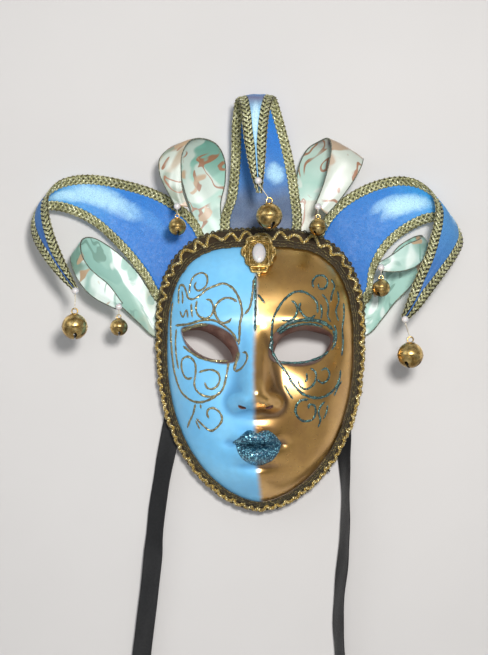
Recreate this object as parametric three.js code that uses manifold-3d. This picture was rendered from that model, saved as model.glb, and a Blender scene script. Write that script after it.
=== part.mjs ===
// A jester's carnival mask: a hollow face shell with a braided rim, three velvet points, four printed
// ribbon points, a pearl and a jingle bell on each point, a brooch on the forehead and two flat ties.
// Millimetres, +Z up. The face looks along -Y, its flat rim lies in the plane y = 0, and the origin is
// on that plane, midway across it at eye level.

import * as THREE from 'three'
import { mergeVertices } from 'three/addons/utils/BufferGeometryUtils.js'
import Module from 'manifold-3d'

const wasm = await Module()
wasm.setup()

// Clearance between neighbouring pieces
const GAP = 0.3

// Face shell
const FACE_HALF_WIDTH = 81.6
const FACE_RISE = 86.5
const FACE_DROP = 136.2
const FACE_DEPTH = 46
const SHELL_WALL = 2.5
const EYE_WALL = 6
const CROWN_BEND = { power: 2.5, root: 0.294 }
const JAW_BEND = { power: 2.33, root: 0.58 }
const DOME_BEND = { power: 2.4, root: 0.55 }
const RELIEF_FADE = 8
const GRID_CROWDING = 1.12
const RIM_CROWDING = 0.6
// The features' middle line lies to the side of the rim's by this share of the half width
const FACE_LEAN = -0.055
const NOSE_LENGTH = 78
const NOSE_WIDTH = 24
const NOSE_RISE = 24
const NOSE_BEND = 2.6
// A nostril's size, its turns in radians, and its place: a share of the half width out and of the nose down
const NOSTRIL = { across: 7, up: 5.4, depth: 9, pitch: 0.6, roll: 0.35, out: 0.135, down: 0.87 }
// How far the thick wall round an eye hole reaches, in shares of the hole's width and height
const EYE_WALL_REACH = { across: 0.78, up: 0.95 }

// Braid round the rim
const TRIM_THICKNESS = 2.5
const TRIM_BACK = 2.6
// The braid's thickness at its edges and along its middle, as shares of the full one
const TRIM_EDGE = 0.8
const TRIM_MIDDLE = 1.15
const TRIM_OVERHANG = { crown: 11.5, side: 7.5, chin: 5.5 }
const TRIM_LAP = { crown: 6, side: 4.2, chin: 3.4 }

// Velvet points and their edge braids
const ROOT_LAP = 7
const ROOT_FLAT = 0.1
const VELVET_WALL = 2
const VELVET_CAMBER = 0.07
const BRAID_WIDTH = 8.5
const BRAID_THICKNESS = 2.6
// The narrowest strip of velvet left between the two braids
const VELVET_LEAST = 1.5
const LEFT_POINT = { reach: 128.5, rise: 90, fore: 50 }
const RIGHT_POINT = { reach: 106.5, rise: 89, fore: 50 }
const CENTRE_POINT = { reach: 36, rise: 119, fore: 57 }

// Printed ribbon points
const RIBBON_WALL = 1
const RIBBON_CAMBER = 0.05
const UPPER_LEFT_RIBBON = { reach: 64, rise: 91, fore: 32 }
const UPPER_RIGHT_RIBBON = { reach: 66, rise: 93, fore: 32 }
const LOWER_LEFT_RIBBON = { reach: 95, rise: 80, fore: 32 }
const LOWER_RIGHT_RIBBON = { reach: 86, rise: 80, fore: 32 }

// Pearls, bells and what they hang on
const PEARL_RADIUS = 2.8
// A pearl's clearance ahead of its cloth, and how far a pearl at a tip hangs down
const PEARL_STANDOFF = 1.5 * GAP
const PEARL_DROP = PEARL_RADIUS / 5
// Where a bell's slots start below its middle and how deep they cut, as shares of its radius
const SLOT_START = 0.55
const SLOT_HEIGHT = 1.1
const SLOT_REACH = 1.5
// How much of the loop's wire is sunk into the bell
const LOOP_SINK = 0.7
const LARGE_BELL = { radius: 10.5, wall: 0.8, slot: 1.8, loopRadius: 2.4, loopWire: 0.6, sides: 12 }
const SMALL_BELL = { radius: 7.3, wall: 0.7, slot: 1.4, loopRadius: 1.7, loopWire: 0.4, sides: 10 }
const LARGE_LINK = { wire: 0.5, radius: 2.3 }
const SMALL_LINK = { wire: 0.4, radius: 1.7 }
const LEFT_LINK = { length: 12.4, lean: 2 }
const CENTRE_LINK = { length: 14.2, lean: -30 }
const RIGHT_LINK = { length: 12.9, lean: -15 }
const RIBBON_LINK = { length: 4.4, lean: 0 }
// How far above a point's tip its pearl is sewn on, along the cloth
const PEARL_ABOVE_TIP = { left: 0, centre: 10, right: 0, ribbon: 0 }
const MIDDLE = 0.5

// Brooch
const BROOCH_WIDTH = 30
const BROOCH_HEIGHT = 43
const BROOCH_PLATE = 2.4
const BROOCH_TILT = 34
const BROOCH_PEARL = { across: 11.5, up: 20, depth: 9, sunk: 1 }
const BROOCH_BEZEL_WALL = 1.6
// The plate's middle: a little to the left, up by a share of the face's rise, and clear of the forehead
const BROOCH_PLACE = { x: -1.5, up: 0.845, clear: 2.6 }

// Ties
const TIE_WIDTH = 16
const TIE_THICKNESS = 1
// How far below eye level the ties end
const TIE_DROP = 290

const COLOURS = {
  shell: 0x7fb4d5, trim: 0x6f6340, velvet: 0x3f87c9, braid: 0xafb491, print: 0xa9cdc4,
  pearl: 0xd8dadb, bell: 0xc09a4a, thread: 0xe8e4d8, setting: 0x8a7442, tie: 0x26282a,
}

// Relief on the face. across and wide are shares of the half width, up and tall shares of the drop to
// the chin, and rise is a share of the depth. A paired row is mirrored to the other side. A firm row has
// steeper sides.
const RELIEF = [
  { name: 'forehead', across: 0, up: 0.33, wide: 0.55, tall: 0.22, rise: 0.065 },
  { name: 'brow', across: 0.46, up: 0.14, wide: 0.3, tall: 0.07, rise: 0.08, paired: true },
  { name: 'socket', across: 0.49, up: -0.015, wide: 0.28, tall: 0.1, rise: -0.17, paired: true },
  { name: 'cheek', across: 0.58, up: -0.31, wide: 0.28, tall: 0.16, rise: 0.13, paired: true },
  { name: 'nose tip', across: 0, up: -0.285, wide: 0.115, tall: 0.068, rise: 0.08, firm: 1.2 },
  { name: 'nose wing', across: 0.178, up: -0.352, wide: 0.1, tall: 0.06, rise: 0.18, firm: 1.7, paired: true },
  { name: 'muzzle', across: 0, up: -0.6, wide: 0.27, tall: 0.15, rise: 0.16 },
  { name: 'upper lip', across: 0.09, up: -0.558, wide: 0.11, tall: 0.036, rise: 0.1, paired: true },
  { name: 'lower lip', across: 0, up: -0.67, wide: 0.17, tall: 0.05, rise: 0.17 },
  { name: 'mouth line', across: 0, up: -0.607, wide: 0.2, tall: 0.017, rise: -0.1 },
  { name: 'mouth corner', across: 0.26, up: -0.6, wide: 0.07, tall: 0.04, rise: -0.06, paired: true },
  { name: 'chin fold', across: 0, up: -0.745, wide: 0.2, tall: 0.03, rise: -0.08 },
  { name: 'chin', across: 0, up: -0.81, wide: 0.22, tall: 0.1, rise: 0.18 },
]

// The nose from root to lip. down is a share of its length below its top, rise a share of its height,
// and half a share of its width.
const NOSE_TOP_UP = 0.118
const NOSE_SECTIONS = [
  { down: 0, rise: 0, half: 0.3 },
  { down: 0.16, rise: 0.16, half: 0.32 },
  { down: 0.3, rise: 0.36, half: 0.4 },
  { down: 0.45, rise: 0.6, half: 0.48 },
  { down: 0.6, rise: 0.86, half: 0.54 },
  { down: 0.7, rise: 1, half: 0.57 },
  { down: 0.78, rise: 0.96, half: 0.56 },
  { down: 0.86, rise: 0.6, half: 0.52 },
  { down: 0.92, rise: 0.18, half: 0.46 },
  { down: 1, rise: 0, half: 0.36 },
]

// Eye holes. across and up of the middle are shares of the half width. The outline runs round the hole
// at the back of the wall, in shares of its width from the outer corner in and of its height from the
// bottom up, and flareIn and flareUp move each point at the front, in shares of the same sizes.
const EYE_HOLES = [
  {
    side: -1, across: 0.546, up: -0.03, width: 41.8, height: 23,
    outline: [
      { in: 0, up: 0.98, flareIn: 0, flareUp: 0.12 },
      { in: 0.25, up: 1.08, flareIn: 0, flareUp: 0.15 },
      { in: 0.51, up: 1, flareIn: 0.02, flareUp: 0.28 },
      { in: 0.78, up: 0.68, flareIn: 0.06, flareUp: 0.4 },
      { in: 0.95, up: 0.34, flareIn: 0.09, flareUp: 0.4 },
      { in: 1, up: 0.02, flareIn: 0.12, flareUp: 0.1 },
      { in: 0.85, up: -0.02, flareIn: 0.06, flareUp: -0.06 },
      { in: 0.66, up: 0.02, flareIn: 0, flareUp: -0.06 },
      { in: 0.4, up: 0.18, flareIn: 0, flareUp: -0.06 },
      { in: 0.15, up: 0.52, flareIn: -0.03, flareUp: -0.04 },
    ],
  },
  {
    side: 1, across: 0.42, up: -0.035, width: 45.8, height: 27,
    outline: [
      { in: 0, up: 0.78, flareIn: -0.03, flareUp: 0.06 },
      { in: 0.2, up: 0.92, flareIn: -0.01, flareUp: 0.16 },
      { in: 0.52, up: 1, flareIn: 0.02, flareUp: 0.13 },
      { in: 0.85, up: 0.8, flareIn: 0.04, flareUp: 0.25 },
      { in: 0.98, up: 0.5, flareIn: 0.08, flareUp: 0.2 },
      { in: 1, up: 0.2, flareIn: 0.08, flareUp: 0 },
      { in: 0.84, up: 0.05, flareIn: 0.03, flareUp: -0.05 },
      { in: 0.5, up: 0, flareIn: 0, flareUp: -0.05 },
      { in: 0.2, up: 0.15, flareIn: 0, flareUp: -0.05 },
      { in: 0.03, up: 0.48, flareIn: -0.03, flareUp: 0 },
    ],
  },
]

// Points. Edge a starts as the upper or outer edge and edge b as the other. Each row gives both edges:
// out, up and fore are shares of the point's reach, rise and fore, measured from the middle of its root.
const LEFT_POINT_ROWS = [
  { aOut: -0.08, aUp: 0.56, aFore: -0.02, bOut: 0.21, bUp: -0.15, bFore: -0.02 },
  { aOut: 0.04, aUp: 0.74, aFore: 0.04, bOut: 0.28, bUp: 0.03, bFore: 0.03 },
  { aOut: 0.2, aUp: 0.87, aFore: 0.1, bOut: 0.38, bUp: 0.22, bFore: 0.08 },
  { aOut: 0.38, aUp: 0.95, aFore: 0.14, bOut: 0.49, bUp: 0.39, bFore: 0.1 },
  { aOut: 0.56, aUp: 1, aFore: 0.18, bOut: 0.61, bUp: 0.54, bFore: 0.12 },
  { aOut: 0.71, aUp: 1, aFore: 0.24, bOut: 0.75, bUp: 0.64, bFore: 0.14 },
  { aOut: 0.83, aUp: 0.94, aFore: 0.34, bOut: 0.87, bUp: 0.68, bFore: 0.18 },
  { aOut: 0.88, aUp: 0.82, aFore: 0.5, bOut: 0.97, bUp: 0.66, bFore: 0.28 },
  { aOut: 0.88, aUp: 0.68, aFore: 0.66, bOut: 1, bUp: 0.54, bFore: 0.44 },
  { aOut: 0.85, aUp: 0.5, aFore: 0.78, bOut: 0.98, bUp: 0.4, bFore: 0.6 },
  { aOut: 0.8, aUp: 0.31, aFore: 0.88, bOut: 0.91, bUp: 0.23, bFore: 0.76 },
  { aOut: 0.73, aUp: 0.09, aFore: 0.95, bOut: 0.8, bUp: 0.04, bFore: 0.9 },
  { aOut: 0.67, aUp: -0.08, aFore: 1, bOut: 0.7, bUp: -0.09, bFore: 0.99 },
]
const RIGHT_POINT_ROWS = [
  { aOut: -0.1, aUp: 0.56, aFore: -0.02, bOut: 0.29, bUp: -0.16, bFore: -0.02 },
  { aOut: 0.01, aUp: 0.74, aFore: 0.04, bOut: 0.32, bUp: 0.06, bFore: 0.03 },
  { aOut: 0.16, aUp: 0.87, aFore: 0.1, bOut: 0.39, bUp: 0.25, bFore: 0.08 },
  { aOut: 0.33, aUp: 0.96, aFore: 0.14, bOut: 0.49, bUp: 0.39, bFore: 0.1 },
  { aOut: 0.5, aUp: 1, aFore: 0.18, bOut: 0.62, bUp: 0.5, bFore: 0.12 },
  { aOut: 0.64, aUp: 0.97, aFore: 0.25, bOut: 0.76, bUp: 0.57, bFore: 0.14 },
  { aOut: 0.74, aUp: 0.87, aFore: 0.36, bOut: 0.89, bUp: 0.57, bFore: 0.19 },
  { aOut: 0.78, aUp: 0.73, aFore: 0.52, bOut: 0.98, bUp: 0.49, bFore: 0.3 },
  { aOut: 0.77, aUp: 0.59, aFore: 0.66, bOut: 1, bUp: 0.36, bFore: 0.46 },
  { aOut: 0.73, aUp: 0.41, aFore: 0.78, bOut: 0.94, bUp: 0.22, bFore: 0.62 },
  { aOut: 0.68, aUp: 0.23, aFore: 0.87, bOut: 0.84, bUp: 0.06, bFore: 0.77 },
  { aOut: 0.6, aUp: 0.02, aFore: 0.94, bOut: 0.73, bUp: -0.11, bFore: 0.88 },
  { aOut: 0.54, aUp: -0.18, aFore: 0.98, bOut: 0.63, bUp: -0.26, bFore: 0.96 },
  { aOut: 0.49, aUp: -0.34, aFore: 1, bOut: 0.54, bUp: -0.36, bFore: 1 },
]
const CENTRE_POINT_ROWS = [
  { aOut: -0.94, aUp: 0.16, aFore: -0.02, bOut: 0.97, bUp: 0.16, bFore: -0.02 },
  { aOut: -0.78, aUp: 0.32, aFore: 0.06, bOut: 0.91, bUp: 0.32, bFore: 0.06 },
  { aOut: -0.71, aUp: 0.48, aFore: 0.13, bOut: 0.83, bUp: 0.48, bFore: 0.13 },
  { aOut: -0.68, aUp: 0.64, aFore: 0.19, bOut: 0.72, bUp: 0.64, bFore: 0.19 },
  { aOut: -0.67, aUp: 0.8, aFore: 0.25, bOut: 0.57, bUp: 0.81, bFore: 0.25 },
  { aOut: -0.63, aUp: 0.92, aFore: 0.32, bOut: 0.44, bUp: 0.94, bFore: 0.32 },
  { aOut: -0.59, aUp: 0.98, aFore: 0.42, bOut: 0.36, bUp: 1, bFore: 0.42 },
  { aOut: -0.54, aUp: 0.99, aFore: 0.56, bOut: 0.31, bUp: 1, bFore: 0.56 },
  { aOut: -0.49, aUp: 0.95, aFore: 0.69, bOut: 0.25, bUp: 0.96, bFore: 0.69 },
  { aOut: -0.44, aUp: 0.86, aFore: 0.8, bOut: 0.18, bUp: 0.87, bFore: 0.8 },
  { aOut: -0.4, aUp: 0.73, aFore: 0.88, bOut: 0.13, bUp: 0.74, bFore: 0.88 },
  { aOut: -0.33, aUp: 0.59, aFore: 0.93, bOut: 0.1, bUp: 0.6, bFore: 0.93 },
  { aOut: -0.23, aUp: 0.45, aFore: 0.97, bOut: 0.06, bUp: 0.45, bFore: 0.97 },
  { aOut: -0.09, aUp: 0.31, aFore: 1, bOut: 0.01, bUp: 0.31, bFore: 1 },
]
const UPPER_LEFT_RIBBON_ROWS = [
  { aOut: 0.33, aUp: 0.35, aFore: -0.11, bOut: -0.08, bUp: 0.35, bFore: -0.11 },
  { aOut: 0.43, aUp: 0.58, aFore: 0, bOut: -0.14, bUp: 0.58, bFore: -0.04 },
  { aOut: 0.47, aUp: 0.76, aFore: 0.18, bOut: -0.14, bUp: 0.78, bFore: 0.1 },
  { aOut: 0.45, aUp: 0.87, aFore: 0.38, bOut: -0.04, bUp: 0.92, bFore: 0.38 },
  { aOut: 0.48, aUp: 0.91, aFore: 0.59, bOut: 0.14, bUp: 0.97, bFore: 0.56 },
  { aOut: 0.6, aUp: 0.86, aFore: 0.78, bOut: 0.31, bUp: 0.94, bFore: 0.76 },
  { aOut: 0.71, aUp: 0.76, aFore: 0.91, bOut: 0.41, bUp: 0.81, bFore: 0.91 },
  { aOut: 0.7, aUp: 0.62, aFore: 0.97, bOut: 0.42, bUp: 0.64, bFore: 0.97 },
  { aOut: 0.61, aUp: 0.48, aFore: 1, bOut: 0.4, bUp: 0.48, bFore: 1 },
  { aOut: 0.5, aUp: 0.34, aFore: 1, bOut: 0.33, bUp: 0.33, bFore: 1 },
]
const UPPER_RIGHT_RIBBON_ROWS = [
  { aOut: -0.16, aUp: 0.34, aFore: -0.11, bOut: 0.28, bUp: 0.34, bFore: -0.11 },
  { aOut: -0.18, aUp: 0.54, aFore: -0.05, bOut: 0.37, bUp: 0.54, bFore: 0 },
  { aOut: -0.14, aUp: 0.74, aFore: 0.08, bOut: 0.51, bUp: 0.68, bFore: 0.16 },
  { aOut: -0.04, aUp: 0.88, aFore: 0.26, bOut: 0.61, bUp: 0.77, bFore: 0.34 },
  { aOut: 0.1, aUp: 0.94, aFore: 0.5, bOut: 0.65, bUp: 0.78, bFore: 0.54 },
  { aOut: 0.21, aUp: 0.96, aFore: 0.75, bOut: 0.66, bUp: 0.77, bFore: 0.76 },
  { aOut: 0.25, aUp: 0.88, aFore: 0.91, bOut: 0.63, bUp: 0.7, bFore: 0.91 },
  { aOut: 0.22, aUp: 0.73, aFore: 0.97, bOut: 0.54, bUp: 0.58, bFore: 0.97 },
  { aOut: 0.15, aUp: 0.54, aFore: 1, bOut: 0.37, bUp: 0.41, bFore: 1 },
  { aOut: 0.05, aUp: 0.36, aFore: 1, bOut: 0.2, bUp: 0.27, bFore: 1 },
]
const LOWER_LEFT_RIBBON_ROWS = [
  { aOut: 0.12, aUp: 0.27, aFore: -0.11, bOut: 0.11, bUp: -0.19, bFore: -0.11 },
  { aOut: 0.26, aUp: 0.5, aFore: -0.1, bOut: 0.24, bUp: -0.05, bFore: -0.02 },
  { aOut: 0.42, aUp: 0.69, aFore: -0.08, bOut: 0.38, bUp: 0.11, bFore: 0.1 },
  { aOut: 0.56, aUp: 0.81, aFore: 0.03, bOut: 0.54, bUp: 0.28, bFore: 0.24 },
  { aOut: 0.65, aUp: 0.86, aFore: 0.19, bOut: 0.69, bUp: 0.47, bFore: 0.34 },
  { aOut: 0.72, aUp: 0.85, aFore: 0.4, bOut: 0.8, bUp: 0.61, bFore: 0.46 },
  { aOut: 0.74, aUp: 0.78, aFore: 0.62, bOut: 0.83, bUp: 0.65, bFore: 0.6 },
  { aOut: 0.72, aUp: 0.66, aFore: 0.78, bOut: 0.82, bUp: 0.57, bFore: 0.74 },
  { aOut: 0.66, aUp: 0.54, aFore: 0.88, bOut: 0.77, bUp: 0.43, bFore: 0.86 },
  { aOut: 0.58, aUp: 0.45, aFore: 0.94, bOut: 0.69, bUp: 0.3, bFore: 0.94 },
  { aOut: 0.48, aUp: 0.35, aFore: 0.97, bOut: 0.59, bUp: 0.2, bFore: 0.97 },
  { aOut: 0.36, aUp: 0.16, aFore: 1, bOut: 0.42, bUp: 0.1, bFore: 1 },
]
const LOWER_RIGHT_RIBBON_ROWS = [
  { aOut: 0.13, aUp: 0.21, aFore: -0.11, bOut: 0.14, bUp: -0.16, bFore: -0.11 },
  { aOut: 0.23, aUp: 0.4, aFore: -0.1, bOut: 0.28, bUp: 0.01, bFore: -0.02 },
  { aOut: 0.32, aUp: 0.6, aFore: -0.08, bOut: 0.4, bUp: 0.18, bFore: 0.1 },
  { aOut: 0.42, aUp: 0.76, aFore: 0.03, bOut: 0.55, bUp: 0.35, bFore: 0.24 },
  { aOut: 0.54, aUp: 0.85, aFore: 0.19, bOut: 0.65, bUp: 0.54, bFore: 0.34 },
  { aOut: 0.62, aUp: 0.88, aFore: 0.4, bOut: 0.72, bUp: 0.69, bFore: 0.46 },
  { aOut: 0.64, aUp: 0.86, aFore: 0.62, bOut: 0.73, bUp: 0.73, bFore: 0.6 },
  { aOut: 0.58, aUp: 0.82, aFore: 0.78, bOut: 0.67, bUp: 0.65, bFore: 0.75 },
  { aOut: 0.47, aUp: 0.77, aFore: 0.88, bOut: 0.56, bUp: 0.54, bFore: 0.88 },
  { aOut: 0.34, aUp: 0.67, aFore: 0.94, bOut: 0.41, bUp: 0.49, bFore: 0.94 },
  { aOut: 0.2, aUp: 0.58, aFore: 1, bOut: 0.24, bUp: 0.49, bFore: 1 },
]

// Half of the brooch's outline from its top round to its foot, in shares of its half width and height.
const BROOCH_OUTLINE = [
  { across: 0, up: 1 },
  { across: 0.26, up: 0.9 },
  { across: 0.5, up: 0.92 },
  { across: 0.74, up: 0.74 },
  { across: 0.74, up: 0.52 },
  { across: 0.98, up: 0.3 },
  { across: 1, up: 0.04 },
  { across: 0.82, up: -0.14 },
  { across: 0.76, up: -0.42 },
  { across: 0.54, up: -0.56 },
  { across: 0.46, up: -0.8 },
  { across: 0.14, up: -0.86 },
  { across: 0.08, up: -1 },
]

// The ties' middle lines from under the rim down. across is a share of the face's half width, behind a
// share of the tie's width, down a share of its drop, and turn the angle of the flat section about the run.
const LEFT_TIE_ROWS = [
  { across: -0.876, behind: 0.1, down: 0.138, turn: 0 },
  { across: -0.9, behind: 0.1, down: 0.207, turn: 0 },
  { across: -0.956, behind: 0.1, down: 0.29, turn: 8 },
  { across: -1.02, behind: 0.06, down: 0.386, turn: 24 },
  { across: -1.073, behind: 0, down: 0.483, turn: 26 },
  { across: -1.105, behind: -0.06, down: 0.572, turn: 24 },
  { across: -1.121, behind: -0.09, down: 0.634, turn: 6 },
  { across: -1.158, behind: -0.06, down: 0.731, turn: 10 },
  { across: -1.2, behind: -0.03, down: 0.828, turn: 6 },
  { across: -1.238, behind: 0, down: 0.917, turn: 4 },
  { across: -1.268, behind: 0, down: 1, turn: 4 },
]
const RIGHT_TIE_ROWS = [
  { across: 0.827, behind: 0.1, down: 0.179, turn: 0 },
  { across: 0.843, behind: 0.1, down: 0.241, turn: 4 },
  { across: 0.868, behind: 0.01, down: 0.324, turn: 50 },
  { across: 0.882, behind: -0.19, down: 0.421, turn: 68 },
  { across: 0.88, behind: -0.28, down: 0.524, turn: 68 },
  { across: 0.858, behind: -0.25, down: 0.628, turn: 60 },
  { across: 0.821, behind: -0.19, down: 0.731, turn: 62 },
  { across: 0.809, behind: -0.19, down: 0.828, turn: 62 },
  { across: 0.827, behind: -0.19, down: 0.917, turn: 62 },
  { across: 0.846, behind: -0.19, down: 1, turn: 62 },
]

const RADIANS = Math.PI / 180
const UP = new THREE.Vector3(0, 0, 1)
const AHEAD = new THREE.Vector3(0, -1, 0)

// Curves and closed meshes

function smoothRow(rows, share) {
  const at = share * (rows.length - 1)
  const first = Math.min(rows.length - 2, Math.floor(at))
  const t = at - first
  const before = rows[Math.max(0, first - 1)]
  const start = rows[first]
  const end = rows[first + 1]
  const after = rows[Math.min(rows.length - 1, first + 2)]
  return Object.fromEntries(Object.keys(start).map((key) => {
    const pull = (end[key] - before[key]) / 2
    const push = (after[key] - start[key]) / 2
    const drop = end[key] - start[key]
    const value = start[key] + t * (pull + t * (3 * drop - 2 * pull - push + t * (pull + push - 2 * drop)))
    return [key, value]
  }))
}

function geometryOf(points, faces) {
  const geometry = new THREE.BufferGeometry()
  const position = new Float32Array(points.flatMap((point) => [point.x, point.y, point.z]))
  geometry.setAttribute('position', new THREE.BufferAttribute(position, 3))
  geometry.setIndex(faces.flat())
  return geometry
}

// Rings of equally many points, skinned in turn. Ends are closed by a fan unless the rings join up.
function skinRings(rings, closed = false) {
  const count = rings[0].length
  const points = rings.flat()
  const faces = []
  const last = closed ? rings.length : rings.length - 1
  for (let ring = 0; ring < last; ring += 1) {
    const here = ring * count
    const there = ((ring + 1) % rings.length) * count
    for (let side = 0; side < count; side += 1) {
      const next = (side + 1) % count
      faces.push([here + side, there + side, there + next])
      faces.push([here + side, there + next, here + next])
    }
  }
  if (!closed) {
    fanEnd(points, faces, rings[0], 0, true)
    fanEnd(points, faces, rings[rings.length - 1], (rings.length - 1) * count, false)
  }
  return facingOut(geometryOf(points, faces))
}

function fanEnd(points, faces, ring, first, start) {
  const middle = ring.reduce((sum, point) => sum.add(point), new THREE.Vector3())
  middle.divideScalar(ring.length)
  points.push(middle)
  ring.forEach((point, side) => {
    const next = (side + 1) % ring.length
    const edge = [first + side, first + next]
    faces.push(start ? [points.length - 1, ...edge] : [points.length - 1, edge[1], edge[0]])
  })
}

function signedVolume(geometry) {
  const { position } = geometry.attributes
  const corners = [0, 1, 2].map(() => new THREE.Vector3())
  let volume = 0
  for (let first = 0; first < geometry.index.count; first += 3) {
    corners.forEach((corner, side) => corner.fromBufferAttribute(position, geometry.index.getX(first + side)))
    volume += corners[0].dot(corners[1].clone().cross(corners[2])) / 6
  }
  return volume
}

function facingOut(geometry) {
  if (signedVolume(geometry) >= 0) return geometry
  const order = Array.from(geometry.index.array)
  for (let first = 0; first < order.length; first += 3) {
    [order[first], order[first + 1]] = [order[first + 1], order[first]]
  }
  geometry.setIndex(order)
  return geometry
}

function solidOf(geometry) {
  const bare = geometry.index ? geometry.clone() : geometry
  bare.deleteAttribute('normal')
  bare.deleteAttribute('uv')
  const merged = facingOut(mergeVertices(bare, 1e-4))
  return new wasm.Manifold(new wasm.Mesh({
    numProp: 3,
    vertProperties: new Float32Array(merged.attributes.position.array),
    triVerts: new Uint32Array(merged.index.array),
  }))
}

function geometryFrom(solid) {
  const mesh = solid.getMesh()
  const geometry = new THREE.BufferGeometry()
  geometry.setAttribute('position', new THREE.BufferAttribute(new Float32Array(mesh.vertProperties), 3))
  geometry.setIndex(Array.from(mesh.triVerts))
  return geometry
}

// The face's surface

function bulge(share, bend) {
  return Math.max(0, 1 - Math.min(1, share) ** bend.power) ** bend.root
}

function rimHalfWidth(z) {
  return FACE_HALF_WIDTH * (z >= 0 ? bulge(z / FACE_RISE, CROWN_BEND) : bulge(-z / FACE_DROP, JAW_BEND))
}

const GRID_MIDDLE_Z = -0.22 * FACE_DROP

function rimRadius(angle) {
  let inside = 0
  let outside = FACE_RISE + FACE_DROP
  for (let step = 0; step < 40; step += 1) {
    const radius = (inside + outside) / 2
    const z = GRID_MIDDLE_Z + radius * Math.sin(angle)
    const within = z < FACE_RISE && z > -FACE_DROP && Math.abs(radius * Math.cos(angle)) < rimHalfWidth(z)
    if (within) inside = radius
    else outside = radius
  }
  return (inside + outside) / 2
}

function bump(x, z, row) {
  const across = (x - row.across * FACE_HALF_WIDTH) / (row.wide * FACE_HALF_WIDTH)
  const up = (z - row.up * FACE_DROP) / (row.tall * FACE_DROP)
  return row.rise * FACE_DEPTH * Math.exp(-((across * across + up * up) ** (row.firm ?? 1)))
}

function relief(x, z) {
  return RELIEF.reduce((sum, row) => sum + bump(x, z, row) + (row.paired ? bump(-x, z, row) : 0), 0)
}

function noseRise(x, z) {
  const down = (NOSE_TOP_UP * FACE_DROP - z) / NOSE_LENGTH
  if (down <= 0 || down >= 1) return 0
  const after = NOSE_SECTIONS.findIndex((row) => row.down >= down)
  const [above, below] = [NOSE_SECTIONS[after - 1], NOSE_SECTIONS[after]]
  const t = (down - above.down) / (below.down - above.down)
  const blend = t * t * (3 - 2 * t)
  const rise = above.rise + (below.rise - above.rise) * t
  const half = (above.half + (below.half - above.half) * blend) * NOSE_WIDTH
  return rise * NOSE_RISE * Math.exp(-((Math.abs(x) / half) ** NOSE_BEND))
}

function rimShare(x, z) {
  const distance = Math.hypot(x, z - GRID_MIDDLE_Z)
  return distance / rimRadius(Math.atan2(z - GRID_MIDDLE_Z, x))
}

function faceY(x, z) {
  const share = rimShare(x, z)
  const fade = 1 - Math.min(1, share) ** RELIEF_FADE
  const across = x - FACE_LEAN * FACE_HALF_WIDTH
  return -(FACE_DEPTH * bulge(share, DOME_BEND) + fade * (relief(across, z) + noseRise(across, z)))
}

function facePoint(share, angle) {
  const radius = share * rimRadius(angle)
  const x = radius * Math.cos(angle)
  const z = GRID_MIDDLE_Z + radius * Math.sin(angle)
  return new THREE.Vector3(x, share >= 1 ? 0 : faceY(x, z), z)
}

function faceNormal(x, z) {
  const step = 0.4
  const slopeX = (faceY(x + step, z) - faceY(x - step, z)) / (2 * step)
  const slopeZ = (faceY(x, z + step) - faceY(x, z - step)) / (2 * step)
  return new THREE.Vector3(slopeX, -1, slopeZ).normalize()
}

// The rim's outline point moved outwards by a distance, with the outward direction in the rim's plane
function rimPoint(angle, outwards = 0) {
  const step = 0.004
  const here = facePoint(1, angle)
  const along = facePoint(1, angle + step).sub(facePoint(1, angle - step))
  const normal = new THREE.Vector3(along.z, 0, -along.x).normalize()
  return here.addScaledVector(normal, outwards)
}

function eyeMiddle(eye) {
  return { x: eye.side * eye.across * FACE_HALF_WIDTH, z: eye.up * FACE_HALF_WIDTH }
}

function wallAt(x, z) {
  const extra = EYE_HOLES.map((eye) => {
    const middle = eyeMiddle(eye)
    const across = (x - middle.x) / (EYE_WALL_REACH.across * eye.width)
    const up = (z - middle.z) / (EYE_WALL_REACH.up * eye.height)
    return Math.max(0, Math.min(1, 3 - 3 * Math.hypot(across, up)))
  })
  return SHELL_WALL + (EYE_WALL - SHELL_WALL) * Math.max(...extra)
}

// A hole flares through the wall from its back outline to its front one, and the cutter then runs
// straight on past both faces
function eyeCutter(eye) {
  const middle = eyeMiddle(eye)
  const ringAt = (front, beyond) => eye.outline.map((row) => {
    const x = middle.x - eye.side * (row.in + front * row.flareIn - 0.5) * eye.width
    const z = middle.z + (row.up + front * row.flareUp - 0.5) * eye.height
    return new THREE.Vector3(x, faceY(x, z) + (1 - front) * EYE_WALL + beyond, z)
  })
  const run = 2 * EYE_WALL
  return solidOf(skinRings([ringAt(1, -run), ringAt(1, 0), ringAt(0, 0), ringAt(0, run)]))
}

function nostrilCutter(side) {
  const geometry = new THREE.SphereGeometry(1, 8, 6)
  const x = (FACE_LEAN + side * NOSTRIL.out) * FACE_HALF_WIDTH
  const z = NOSE_TOP_UP * FACE_DROP - NOSTRIL.down * NOSE_LENGTH
  geometry.scale(NOSTRIL.across / 2, NOSTRIL.depth, NOSTRIL.up / 2)
  geometry.rotateY(-side * NOSTRIL.roll)
  geometry.rotateX(NOSTRIL.pitch)
  geometry.translate(x, faceY(x, z), z)
  return solidOf(geometry)
}

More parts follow.
